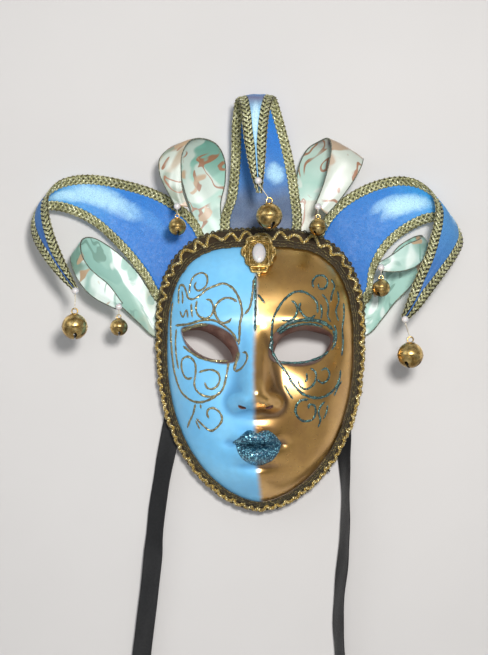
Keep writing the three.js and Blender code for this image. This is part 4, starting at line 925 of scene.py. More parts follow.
def rim_point(angle, outwards=0.0):
    """The rim's outline moved outwards, and the outward direction, both in the rim's plane."""
    def at(turn):
        radius = rim_radius(turn)
        return np.stack([radius * np.cos(turn), np.zeros_like(radius),
                GRID_MIDDLE_Z + radius * np.sin(turn)], -1)
    angle = np.asarray(angle, float)
    along = at(angle + 0.004) - at(angle - 0.004)
    out = unit(np.stack([along[..., 2], np.zeros_like(angle), -along[..., 0]], -1))
    return at(angle) + out * np.asarray(outwards, float)[..., None], out


def from_photo(across, down, depth):
    """Where a pixel of the photograph lies at a depth behind (+) or ahead (-) of the rim's plane."""
    scale = PIXEL * (1 + np.asarray(depth, float) / -EYE_POINT[1])
    x = EYE_POINT[0] + (np.asarray(across, float) - FRAME_WIDTH / 2) * scale
    z = EYE_POINT[2] - (np.asarray(down, float) - FRAME_HEIGHT / 2) * scale
    return x, z


# Casting a pixel on the face: the depth it starts from, the rounds, and the share of each step
CAST_START = 40
CAST_ROUNDS = 12
CAST_STEP = 0.7


def photo_on_face(points):
    """Pixels of the photograph cast on the face's surface."""
    points = np.asarray(points, float)
    depth = np.full(len(points), float(-CAST_START))
    for _ in range(CAST_ROUNDS):
        x, z = from_photo(points[:, 0], points[:, 1], depth)
        depth = depth + CAST_STEP * (face_y(x, z) - depth)
    return x, z


def eye_middle(eye):
    return eye["side"] * eye["across"] * FACE_HALF_WIDTH, eye["up"] * FACE_HALF_WIDTH


def eye_ring(eye, front, beyond, grow=0.0, count=72):
    """A ring of the eye hole: front 0 at the wall's back to 1 at its front."""
    rows = smooth_loop(eye["outline"], count)
    mid_x, mid_z = eye_middle(eye)
    x = mid_x - eye["side"] * (rows[:, 0] + front * rows[:, 2] - 0.5) * eye["width"]
    z = mid_z + (rows[:, 1] + front * rows[:, 3] - 0.5) * eye["height"]
    if grow:
        away = unit(np.stack([x - x.mean(), z - z.mean()], -1))
        x, z = x + away[:, 0] * grow, z + away[:, 1] * grow
    return np.stack([x, face_y(x, z) + (1 - front) * EYE_WALL + beyond, z], -1)


def wall_at(x, z):
    extra = 0.0
    for eye in EYE_HOLES:
        mid_x, mid_z = eye_middle(eye)
        away = np.hypot((x - mid_x) / (EYE_WALL_REACH[0] * eye["width"]),
                        (z - mid_z) / (EYE_WALL_REACH[1] * eye["height"]))
        extra = np.maximum(extra, np.clip(3 - 3 * away, 0, 1))
    return SHELL_WALL + (EYE_WALL - SHELL_WALL) * extra


def skin_rings(piece, rings, mark=0):
    rings = np.array(rings)
    count, around = rings.shape[:2]
    index = np.arange(count * around).reshape(count, around)
    faces = ring_faces(index)
    faces += [index[0][::-1].tolist(), index[-1].tolist()]
    piece.add(rings, faces, None, mark)


# Where blue meets gold, as pixels of the photograph from the brow to the chin
PAINT_SPLIT = [(257, 232), (256, 300), (254.5, 340), (254, 368), (254, 393), (254.5, 420), (257, 465),
        (262, 505)]


def split_line(z):
    x, up = photo_on_face(PAINT_SPLIT)
    order = np.argsort(up)
    return np.interp(z, up[order], x[order])


FACE_COLUMNS = 150
FACE_ROWS = 184


def face_mesh():
    """The shell as a closed mesh: a square grid bent to the rim, in two skins."""
    u = 2 * np.arange(FACE_COLUMNS + 1) / FACE_COLUMNS - 1
    u = np.sign(u) * np.abs(u) ** GRID_CROWDING
    v = 2 * np.arange(FACE_ROWS + 1) / FACE_ROWS - 1
    u, v = np.meshgrid(u, v)
    across = u * np.sqrt(1 - v * v / 2)
    up = v * np.sqrt(1 - u * u / 2)
    angle = np.arctan2(up, across)
    spread = np.hypot(across, up)
    border = np.zeros(u.shape, bool)
    border[[0, -1], :] = True
    border[:, [0, -1]] = True
    share = np.where(border, 1, spread + RIM_CROWDING * spread ** 4 * (1 - spread))
    radius = share * rim_radius(angle)
    x = radius * np.cos(angle)
    z = GRID_MIDDLE_Z + radius * np.sin(angle)
    y = np.where(border, 0, face_y(x, z))
    outer = np.stack([x, y, z], -1)
    normal = face_normal(x, z)
    inner = outer - normal * wall_at(x, z)[..., None]
    inner[..., 1] = np.minimum(inner[..., 1], -0.02 * FACE_DEPTH * (1 - share))
    inner[border] = rim_point(angle[border], np.full(int(border.sum()), -SHELL_WALL))[0]
    points, faces = two_skins(outer, inner)
    piece = Piece()
    piece.add(points, faces)
    front = FACE_COLUMNS * FACE_ROWS
    piece.marks = [0] * front + [1] * (len(faces) - front)
    return piece


def subtract(obj, cutter):
    """Cuts one mesh out of another. The cut faces keep the cutter's second finish."""
    cut = obj.modifiers.new("cut", "BOOLEAN")
    cut.operation = "DIFFERENCE"
    cut.solver = "EXACT"
    cut.object = cutter
    bpy.context.view_layer.update()
    shaped = bpy.data.meshes.new_from_object(obj.evaluated_get(bpy.context.evaluated_depsgraph_get()))
    obj.modifiers.clear()
    obj.data = shaped
    bpy.data.objects.remove(cutter)


def cutter_object(piece, *finishes):
    mesh = piece.mesh("cutter")
    for finish in finishes:
        mesh.materials.append(finish)
    obj = bpy.data.objects.new("cutter", mesh)
    bpy.context.scene.collection.objects.link(obj)
    return obj


def nostril(side):
    x = (FACE_LEAN + side * NOSTRIL["out"]) * FACE_HALF_WIDTH
    z = NOSE_TOP_UP * FACE_DROP - NOSTRIL["down"] * NOSE_LENGTH
    hole = Piece()
    hole.ball((0, 0, 0), (NOSTRIL["across"] / 2, NOSTRIL["depth"], NOSTRIL["up"] / 2), 28, 16, 1)
    points = hole.points[0]
    roll_cos, roll_sin = math.cos(NOSTRIL["roll"]), -side * math.sin(NOSTRIL["roll"])
    across = points[:, 0] * roll_cos + points[:, 2] * roll_sin
    tilted = points[:, 2] * roll_cos - points[:, 0] * roll_sin
    turn_cos, turn_sin = math.cos(NOSTRIL["pitch"]), math.sin(NOSTRIL["pitch"])
    y = points[:, 1] * turn_cos - tilted * turn_sin
    up = points[:, 1] * turn_sin + tilted * turn_cos
    hole.points[0] = np.stack([across + x, y + float(face_y(x, z)), up + z], -1)
    return hole


def make_face(paint, lining):
    face = face_mesh().make("face", paint, lining, slot="shell", replaces=["face_shell"])
    run = 2 * EYE_WALL
    for eye in EYE_HOLES:
        hole = Piece()
        skin_rings(hole, [
            eye_ring(eye, 1, -run, 0.5), eye_ring(eye, 1, -0.05, 0.5), eye_ring(eye, 1, 0.6),
            eye_ring(eye, 0.5, 0), eye_ring(eye, 0, 0), eye_ring(eye, 0, run),
        ], 1)
        subtract(face, cutter_object(hole, paint, lining))
    for side in (-1, 1):
        subtract(face, cutter_object(nostril(side), paint, lining))
    mesh = face.data
    count = len(mesh.vertices)
    places = np.zeros(count * 3)
    mesh.vertices.foreach_get("co", places)
    x, y, z = places.reshape(-1, 3).T / MM
    fields = {"gold_side": x - split_line(z)}
    ring = [(4 * math.cos(turn), 4 * math.sin(turn)) for turn in np.arange(8) / 8 * TAU]
    around = np.mean([face_y(x + dx, z + dz) for dx, dz in ring], axis=0)
    fields["recess"] = np.clip((face_y(x, z) - around) / 0.8, 0, 1)
    edge = np.full(count, 99.0)
    for eye in EYE_HOLES:
        outline = eye_ring(eye, 1, 0, 0.5, 144)[:, [0, 2]]
        for start in range(0, count, 4000):
            part = slice(start, start + 4000)
            away = np.hypot(x[part, None] - outline[None, :, 0], z[part, None] - outline[None, :, 1])
            edge[part] = np.minimum(edge[part], away.min(1))
    fields["hole_edge"] = edge
    for name, values in fields.items():
        layer = mesh.attributes.new(name, "FLOAT", "POINT")
        layer.data.foreach_set("value", values.astype(np.float32))
    mesh.shade_smooth()
    mesh.set_sharp_from_angle(angle=math.radians(48))
    return face


# Lips. Each row gives a place across the mouth, its upper edge and its lower edge, as pixels
UPPER_LIP = [(233, 441.5, 443), (238, 438.5, 446), (243, 434, 447.5), (248, 430.5, 448), (253, 431, 448),
             (257.5, 433.5, 448.5), (262, 431, 448), (267.5, 430.5, 448), (273, 433.5, 447.5),
             (278, 438.5, 446.5), (281.5, 443, 444.5)]
LOWER_LIP = [(236.5, 443.5, 447), (238.5, 444.5, 453), (243, 445.8, 459), (249, 446.2, 463),
        (255, 446.6, 465),
             (261, 446.6, 465), (267, 446.2, 463), (273, 445.6, 459.5), (278, 444.5, 453),
             (280.5, 443.5, 447.5)]


# The lips' grid across and down, their height at the middle, their wall and how far they stand off
LIP_COLUMNS = 61
LIP_ROWS = 15
LIP_CROWN = 1.5
LIP_WALL = 0.5
LIP_SEAT = 0.1


def make_lips(finish):
    piece = Piece()
    for rows in (UPPER_LIP, LOWER_LIP):
        across = np.linspace(0, 1, LIP_COLUMNS)
        line = smooth_row(rows, across)
        down = np.linspace(0, 1, LIP_ROWS)
        px = np.repeat(line[:, :1], len(down), 1)
        py = line[:, 1:2] + (line[:, 2:] - line[:, 1:2]) * down
        x, z = photo_on_face(np.stack([px.ravel(), py.ravel()], -1))
        crown = (np.sin(math.pi * down)[None] * np.sin(math.pi * across)[:, None] ** 0.5).ravel()
        points, normal = on_surface(x, z)
        grid = (LIP_COLUMNS, LIP_ROWS, 3)
        points = (points + normal * (LIP_SEAT + LIP_CROWN * crown)[:, None]).reshape(grid)
        lay = lay_for(points, share=down if rows is UPPER_LIP else 1 - down)
        slab(piece, points, normal.reshape(grid), LIP_WALL, lay)
    return piece.make("lips", finish, slot="shell")


# Glitter scrolls on each half of the face, as pixels of the photograph, with each line's width
SCROLLS_ON_BLUE = [
    (2.5, [(202, 294), (206.5, 289.6), (215.9, 285.5), (223.9, 283.5), (232, 287.6), (237.3, 294.9),
           (240.7, 303.6), (242, 313.7), (240, 323.7), (239.4, 337), (238.5, 345)]),
    (2.3, [(178.8, 304), (178.6, 296), (179, 289.6), (180.5, 285.2), (184, 286.2), (186.4, 292.2),
           (188.4, 298), (193.8, 298.9), (202.5, 293.6)]),
    (2.0, [(182.5, 304), (182.8, 297), (182, 290.5)]),
    (2.2,
    [(189.6, 293.5), (190, 286), (192.4, 278.5), (197, 274.2), (203, 273), (207.2, 277), (206.8, 284),
           (203, 289), (197.5, 290.5), (194.6, 286.5), (196.4, 281.8)]),
    (2.2, [(197, 300.5), (196, 308.5), (198.5, 315.5), (205, 318.5), (211.5, 315), (213.5, 307.5),
           (210.5, 300.5), (206, 299.5)]),
    (2.4, [(237, 302), (232, 298.6), (225.5, 298), (218.5, 302), (214.8, 309), (216.5, 317),
           (222, 322.8), (228.5, 321.5), (231.5, 318)]),
    (2.4,
    [(175.5, 325.5), (188.5, 324), (200, 320.8), (212, 320), (222, 324.5), (232, 332.5), (237.5, 342)]),
    (3.4, [(182, 331), (190, 327.6), (199, 325.2), (208, 324.6)]),
    (3.0,
    [(172.8, 302), (171.3, 314), (170.8, 327), (171.2, 342), (172.5, 358), (174.5, 372), (177.5, 383)]),
    (2.2, [(176.5, 329), (175.6, 342), (176.4, 356), (178.5, 369)]),
    (2.2, [(191.2, 303.5), (191.6, 310.5), (192.4, 317.5)]),
    (1.9, [(180, 311), (183, 317), (186.5, 310), (188, 318)]),
    (2.3, [(253.8, 279), (252.5, 293.5), (249.8, 307), (244.5, 314.5)]),
    (2.3, [(192.4, 377.5), (188, 378.8), (184.1, 375.6), (181.6, 367.3), (182.4, 359.5), (187.3, 356.6),
           (192.4, 359.2), (195.4, 365), (195.6, 373.7), (194.3, 383.3), (196.9, 390.9), (204.5, 396),
           (214.7, 396), (222.4, 389.6), (226.2, 376.9), (228.6, 362)]),
    (2.2, [(198.8, 372.4), (204.5, 370.5), (211.5, 369.8), (217.9, 373), (219.8, 379.4), (217.3, 385.8),
           (212.2, 389), (207.1, 387.7), (204.7, 382.4)]),
    (2.5, [(176, 379), (180.9, 390.9), (187.3, 397.9), (195, 401.8), (203.3, 401.8), (212.8, 397.9),
           (220, 392)]),
    (2.4, [(183, 346), (190.5, 352), (200.7, 358), (212.2, 360.8), (227.5, 361)]),
    (3.6, [(238.6, 352), (237, 359), (235, 366), (234.4, 371)]),
    (2.5, [(235, 371.5), (240.3, 369.2), (244.7, 364.1), (247.3, 357.8), (246, 352.8), (242.4, 352.4)]),
    (2.3, [(196.4, 418.5), (203.3, 425.5), (210.9, 430.8), (217.9, 426.5), (222, 419.6), (219.8, 412.6),
           (213.5, 408.1), (208.4, 409.4), (207.1, 414), (209, 418.3)]),
    (2.2, [(195.4, 404), (193.1, 413.9), (189.6, 421.5), (187.4, 428)]),
    (1.9, [(195.8, 420.3), (197.6, 424.5), (200, 429.5)]),
    (1.8, [(200.5, 404), (201, 409)]),
]
SCROLLS_ON_GOLD = [
    (2.4, [(255.2, 276), (255.5, 293.5), (255.5, 313.5), (255, 331.5)]),
    (2.2, [(257.5, 294), (260.5, 297.5), (265, 303.5)]),
    (2.5,
    [(271.4, 341), (272, 330), (273, 320), (276.8, 310.8), (284, 300), (293.7, 292.5), (303.3, 291.8),
           (312.2, 296.8), (317, 303), (317.6, 313)]),
    (2.3, [(291.5, 300.5), (296, 304.5), (297.2, 311.5), (294, 317.8), (287.5, 320.4), (281.5, 320.2)]),
    (2.4, [(300.7, 302.6), (299.4, 308.3), (303.3, 315), (309.6, 318.5), (315.5, 315)]),
    (3.6, [(277, 332), (284, 326), (291, 322.4), (303.3, 320), (316, 320.4), (325, 323.6), (333, 329.5)]),
    (2.6, [(279, 333.8), (285, 329.4), (292, 326.2), (303.3, 324.2), (315, 324.6), (323, 327)]),
    (2.8, [(333, 330), (334.6, 336), (333, 343)]),
    (3.6, [(272.6, 340), (271.2, 346), (272.4, 352)]),
    (2.2,
    [(313.5, 288), (312.6, 281.5), (317, 276), (324, 276), (327.6, 281.5), (325, 288), (319.5, 288.5),
           (318.4, 283.5)]),
    (2.2, [(331, 279), (334.4, 286), (332, 294), (330.6, 302)]),
    (2.1, [(322, 294), (326.5, 300), (328.4, 308), (327.6, 316), (331, 322)]),
    (2.1, [(337.6, 291), (338.6, 301), (336, 311), (338.5, 321)]),
    (2.3, [(343.6, 303), (344, 315), (342.4, 328), (343, 342), (341.8, 356)]),
    (2.1, [(320.5, 304), (322, 312), (320.8, 319)]),
    (2.2, [(334.5, 325), (336.4, 334), (335.4, 343), (331.4, 350)]),
    (2.7, [(272.7, 352), (277.8, 361.6), (287.3, 373.7), (291.8, 382), (298.8, 390.3), (304.5, 394.7),
           (316, 398), (325.6, 396), (333.9, 389.6), (339, 380.7), (340.6, 370)]),
    (2.3, [(281, 362.4), (292, 362.8), (303.3, 362.2), (312.8, 359.9), (322, 356.2), (328.5, 351)]),
    (2.2,
    [(310.5, 368), (315.4, 372.4), (316, 378.8), (312.2, 385.8), (305.8, 389.2), (299.8, 386),
    (298.4, 380)]),
    (2.2, [(316.8, 379.4), (322.4, 383), (327.8, 379.4), (329.4, 373), (326, 368.4), (321.4, 370.4)]),
    (1.9, [(306.5, 373), (307, 379), (304.5, 382.5)]),
    (2.4, [(308.4, 399.8), (301.5, 400.2), (296.6, 405), (295.6, 411.5), (298.6, 418), (304.4, 421.2),
           (312.2, 419.6), (315.6, 413), (314.6, 406), (309.5, 404.6), (308.6, 409)]),
    (2.2, [(325, 401.5), (320.8, 406), (318.6, 412.6), (320.4, 420), (318, 427.5)]),
    (2.0, [(327.5, 405), (326.6, 412), (323.5, 419)]),
    (2.0, [(334, 396), (337.5, 388), (341.5, 381)]),
    (2.0, [(284.5, 384.5), (288, 392), (293, 399)]),
]
SCROLL_HEIGHT = 0.55
SCROLL_HALF = 0.5
SCROLL_SPACING = 0.9


def make_scrolls(name, lines, finish):
    """Beads of glitter glue drawn on the face."""
    piece = Piece()
    for width, points in lines:
        path = smooth_row(points, np.linspace(0, 1, 12 * len(points)))
        share, _ = evenly(path, SCROLL_SPACING)
        path = smooth_row(points, share)
        x, z = photo_on_face(path)
        spots, normal = on_surface(x, z, 0.05)
        run = unit(np.gradient(spots, axis=0))
        side = unit(np.cross(run, normal))
        steps = np.arange(len(spots))
        ends = np.clip(np.minimum(steps, steps[::-1]) / 2.0, 0.35, 1)
        swell = 1 + 0.12 * np.sin(steps * 0.9) + 0.1 * np.sin(steps * 0.37)
        half = width * PIXEL * SCROLL_HALF * ends * swell
        section = np.stack([np.outer(half, np.cos(np.arange(8) / 8 * TAU)),
                            np.outer(ends, SCROLL_HEIGHT * np.sin(np.arange(8) / 8 * TAU))], -1)
        piece.sweep(spots, side, normal, section)
    return piece.make(name, finish, slot="shell")


# Braid round the rim

def by_height(sizes, angle):
    height = np.sin(angle)
    end = np.where(height > 0, sizes["crown"], sizes["chin"])
    return sizes["side"] + (end - sizes["side"]) * height * height


def trim_frame(count):
    """Inner and outer edges of the trim at even distances round the rim, with its rise."""
    coarse = np.linspace(-math.pi, math.pi, 1441)
    middle, _ = rim_point(coarse, 2.0)
    places = lengths(middle)
    angle = np.interp(np.arange(count) / count * places[-1], places, coarse)
    lap, _ = rim_point(angle, -by_height(TRIM_LAP, angle))
    inner, _ = on_surface(lap[:, 0], lap[:, 2], 1.5 * GAP)
    outer, outwards = rim_point(angle, by_height(TRIM_OVERHANG, angle))
    outer[:, 1] = -TRIM_BACK
    across = unit(outer - inner)
    rise = unit(-(outwards - across * np.sum(outwards * across, -1, keepdims=True)))
    rise = np.where(rise[:, 1:2] > 0, -rise, rise)
    return inner, outer, rise, angle, places[-1]


def on_trim(inner, outer, rise, across, height):
    """A line on the trim. across runs from its inner to its outer edge."""
    across = np.broadcast_to(across, len(inner))[:, None]
    crown = TRIM_THICKNESS * (0.8 + 0.35 * np.sin(math.pi * np.clip(across, 0, 1)))
    return inner + (outer - inner) * across + rise * (crown + np.broadcast_to(height, len(inner))[:,
            None])


# Where threads have come loose: a share of the way round from the left, and their lean
LOOSE_ENDS = [(0.33, 0.4), (0.405, -0.5), (0.44, 0.3), (0.18, 0.2), (0.1, -0.3), (0.55, 0.1)]


TRIM_STEPS = 720
GOLD_STRAND = {"offset": 0.8, "radius": 0.86, "turn": 4.4}
EDGE_LOOP = 4.7


def make_trim(tape, gold, dark):
    count = TRIM_STEPS
    inner, outer, rise, angle, total = trim_frame(count)
    width = np.linalg.norm(outer - inner, axis=1)
    across = unit(outer - inner)
    band = Piece()
    section = np.zeros((count, 14, 2))
    shares = np.array([0, 0.5, 1, 1.02, 0.98, 0.86, 0.72, 0.58, 0.44, 0.3, 0.16, 0.04, -0.03, -0.02])
    heights = np.array([0.05, 0.05, 0.05, 0.4, 0.68, 0.8, 0.86, 0.9, 0.9, 0.86, 0.8, 0.68, 0.4, 0.2])
    section[..., 0] = width[:, None] * shares
    section[..., 1] = TRIM_THICKNESS * heights
    band.sweep(inner, across, rise, section, closed=True)
    band.lay[0].reshape(count, 14, 3)[..., 1] = width[:, None] * shares
    band.make("trim_tape", tape, slot="trim", replaces=["face_trim"])

    # The wavy gold cord is two strands twisted together
    inner, outer, rise, angle, total = trim_frame(3 * count)
    step = np.arange(3 * count) / (3 * count)
    pitch = 7.4 + 7.0 * np.clip(np.sin(angle), 0, 1) ** 2
    pitch = pitch * (1 + 0.14 * np.sin(TAU * 17 * step) + 0.1 * np.sin(TAU * 29 * step + 2.0))
    phase = np.cumsum(total / len(step) / pitch)
    phase *= round(phase[-1]) / phase[-1]
    uneven = 0.06 * np.sin(TAU * 23 * step + 1.0) + 0.05 * np.sin(TAU * 41 * step)
    uneven = uneven + 0.04 * np.sin(TAU * 67 * step)
    middle = by_height({"crown": 0.5, "side": 0.64, "chin": 0.56}, angle) + uneven
    swing = middle + by_height({"crown": 0.2, "side": 0.15, "chin": 0.16}, angle) * np.sin(TAU * phase)
    wave = on_trim(inner, outer, rise, swing, 0.75 + 0.35 * np.cos(2 * TAU * phase))
    side, up = frames(wave, rise, closed=True)
    along = lengths(np.concatenate([wave, wave[:1]]))
    turns = round(along[-1] / GOLD_STRAND["turn"])
    turn = TAU * turns * along[:-1, None] / along[-1]
    cords = Piece()
    for start in (0, math.pi):
        strand = wave + GOLD_STRAND["offset"] * (side * np.cos(turn + start) + up * np.sin(turn + start))
        cords.tube(strand, GOLD_STRAND["radius"], 6, rise, closed=True)
    cords.make("trim_gold_cord", gold, slot="trim")

    # Dark cords along the inner edge, and loops standing out from the outer one
    edges = Piece()
    for place, lift, radius in ((0.0, -1.0, 0.6), (0.1, -0.1, 0.55), (0.24, 0.05, 0.5), (0.9, 0.0, 0.7)):
        ripple = place + 0.015 * np.sin(TAU * phase * 3) + 0.4 * uneven
        edges.tube(on_trim(inner, outer, rise, ripple, lift)[::2], radius, 6, rise[::2], closed=True)
    loops = round(total / EDGE_LOOP)
    turn = TAU * loops * step
    width = np.linalg.norm(outer - inner, axis=1)
    uneven = 0.4 * np.sin(TAU * 37 * step) + 0.35 * np.sin(TAU * 61 * step + 2.0)
    out = 1 + (0.2 + (0.9 + uneven) * np.abs(np.cos(turn / 2)) ** 0.7 * (1 + np.cos(turn)) / 2) / width
    path = on_trim(inner, outer, rise, out, -0.8 + 0.4 * np.cos(turn))
    run = unit(np.roll(path, -1, 0) - np.roll(path, 1, 0))
    edges.tube(path + run * (1.0 * np.sin(turn))[:, None], 0.6, 5, rise, closed=True)
    for place, lean in LOOSE_ENDS:
        here = int(place * len(step))
        for strand, (bend, reach) in enumerate(((-0.9, 3.6), (-0.2, 5.0), (0.4, 4.2), (1.1, 3.0))):
            share = np.linspace(0, 1, 8)[:, None]
            across = unit(outer[here] - inner[here])
            lay_on = unit(run[here] * (bend + lean) + across)
            tuft = path[here] + lay_on * reach * share + rise[here] * 0.8 * np.sin(3 * share + strand)
            edges.tube(tuft, np.linspace(0.5, 0.22, 8), 5, rise[here])
    edges.make("trim_edge_loops", dark, slot="trim")


# Cloth points

class Cloth:
    """A point of cloth between its two edges, as in the part."""

    def __init__(self, size, side, start, end, behind, rows):
        reach, rise, fore = size
        angles = np.radians([start, end])
        self.middle = rim_point(angles)[0].mean(0)
        roots, _ = rim_point(angles, np.full(2, -ROOT_LAP))
        roots[:, 1] = behind
        first = []
        for root in roots:
            first += [side * (root[0] - self.middle[0]) / reach, (root[2] - self.middle[2]) / rise,
                    -root[1] / fore]
        self.rows = np.array([first, *rows])
        self.scale = np.array([side * reach, -fore, rise])
        self.facing = 1.0
        out = sum(self.edges(np.array(0.2))) / 2 - self.middle
        self.facing = float(np.sign(np.cross(roots[1] - roots[0], out) @ AHEAD))

    def edges(self, along):
        row = smooth_row(self.rows, along)
        base = np.array([self.middle[0], 0.0, self.middle[2]])
        a = base + row[..., [0, 2, 1]] * self.scale
        b = base + row[..., [3, 5, 4]] * self.scale
        return a, b

    def surface(self, along, across, camber):
        along, across = np.broadcast_arrays(np.asarray(along, float), np.asarray(across, float))
        a, b = self.edges(along)
        ahead = sum(self.edges(np.minimum(1, along + 0.01)))
        behind = sum(self.edges(np.maximum(0, along - 0.01)))
        run = unit(ahead - behind)
        width = np.linalg.norm(a - b, axis=-1)
        normal = unit(np.cross(b - a, run)) * self.facing
        arch = camber * width * 4 * across * (1 - across) * np.clip(5 * (along - ROOT_FLAT), 0, 1)
        return a + (b - a) * across[..., None] - normal * arch[..., None], normal

    def width(self, along):
        a, b = self.edges(along)
        return np.linalg.norm(a - b, axis=-1)

    def length(self):
        along = np.linspace(0, 1, 200)
        return lengths(sum(self.edges(along)) / 2)[-1]

    def spaced(self, count):
        """Shares along the point at even distances."""
        fine = np.linspace(0, 1, 400)
        places = lengths(sum(self.edges(fine)) / 2)
        return np.interp(np.linspace(0, places[-1], count), places, fine)


def cloth_sheet(name, cloth, inset, wall, camber, finish, slot, replaces, creases):
    """A sheet of cloth, its long edges inset, with soft creases."""
    along = cloth.spaced(150)
    shares = np.linspace(0, 1, 33)
    width = np.maximum(cloth.width(along), 0.5)
    edge = np.minimum(0.46, inset / width)
    across = edge[:, None] + (1 - 2 * edge[:, None]) * shares
    points, normal = cloth.surface(along[:, None], across, camber)
    middle = points[:, 16]
    distance = lengths(middle)[:, None]
    wave = np.sin(distance / 9.0 + 3.2 * shares) * np.sin(distance / 23.0 + 5.0 * shares + 1.0)
    room = np.sin(math.pi * shares) * np.clip(distance / 12.0, 0, 1)
    points = points + normal * (creases * wave * room)[..., None]
    lay = lay_for(points, distance, (shares - 0.5) * width[:, None], along[:, None])
    piece = Piece()
    slab(piece, points, normal, wall, lay)
    obj = piece.make(name, finish, slot=slot, replaces=replaces)


PLAIT_PITCH = 13.0
PLAIT_STRAND = 1.2


def plait_path(cloth, on_a, camber):
    """The plait's middle line along one edge, its half width, and the directions across and up."""
    fine = np.linspace(0.0, 0.995, 600)
    width = cloth.width(fine)
    inset = np.minimum(BRAID_WIDTH / 2, width / 4)
    share = inset / np.maximum(width, 0.5)
    middle, _ = cloth.surface(fine, share if on_a else 1 - share, camber)
    places = lengths(middle)
    count = int(places[-1] / 0.55)
    along = np.interp(np.linspace(0, places[-1], count), places, fine)
    width = cloth.width(along)
    inset = np.minimum(BRAID_WIDTH / 2, width / 4)
    share = inset / np.maximum(width, 0.5)
    at = share if on_a else 1 - share
    middle, up = cloth.surface(along, at, camber)
    further, _ = cloth.surface(along, at + (0.01 if on_a else -0.01), camber)
    inwards = unit(further - middle)
    return middle, inwards, unit(up - inwards * np.sum(up * inwards, -1, keepdims=True)), inset


def make_plaits(name, cloth, strand_finish, edge_finish, tape_finish, node):
    """A flat chain plait down both edges of a point, looped along its outer edge and backed with tape."""
    strands = Piece()
    picots = Piece()
    tape = Piece()
    for on_a in (True, False):
        middle, inwards, up, half = plait_path(cloth, on_a, VELVET_CAMBER)
        along = lengths(middle)
        turn = TAU * along / PLAIT_PITCH
        for strand in range(3):
            phase = turn + TAU * strand / 3
            swing = (half - PLAIT_STRAND - 0.1)[:, None] * np.sin(phase)[:, None]
            lift = 0.55 * np.sin(2 * phase)[:, None] + 0.35
            path = middle + inwards * swing + up * lift
            strands.tube(path, PLAIT_STRAND * np.clip(half / 3.4, 0.5, 1), 7, up, flat=0.85,
                    share=strand / 3)
        path = middle + inwards * (half - 0.35)[:, None] + up * 0.1
        picots.tube(path, 0.5, 6, up)
        loop = TAU * along / 4.2
        out = (half - 0.3 + 0.95 * (1 - np.cos(loop)) / 2)[:, None]
        slide = 0.85 * np.sin(loop)[:, None]
        run = unit(np.gradient(middle, axis=0))
        picots.tube(middle - inwards * out + run * slide + up * 0.2, 0.5, 5, up)
        flat = np.stack([np.outer(half - 0.25, [-1, 1, 1, -1]),
                np.tile([-0.35, -0.35, 0.35, 0.35], (len(half), 1))], -1)
        tape.sweep(middle, inwards, up, flat)
    tape.make(f"{name}_tape", tape_finish, slot="braid", replaces=[node])
    strands.make(f"{name}_plait", strand_finish, slot="braid")
    picots.make(f"{name}_picots", edge_finish, slot="braid")


WIRE_RADIUS = 0.62
WIRE_INSET = 0.35


def make_wire_edge(name, cloth, finish):
    """The covered wire hemmed into a ribbon's edges."""
    piece = Piece()
    along = cloth.spaced(240)
    for on_a in (True, False):
        share = np.minimum(0.3, WIRE_INSET / np.maximum(cloth.width(along), 0.5))
        path, up = cloth.surface(along, share if on_a else 1 - share, RIBBON_CAMBER)
        piece.tube(path, WIRE_RADIUS, 8, up)
    piece.make(name, finish, slot="print")


# Pearls, thread loops and bells

def node_box(node):
    low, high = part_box(node)
    return np.array(low) / MM, np.array(high) / MM


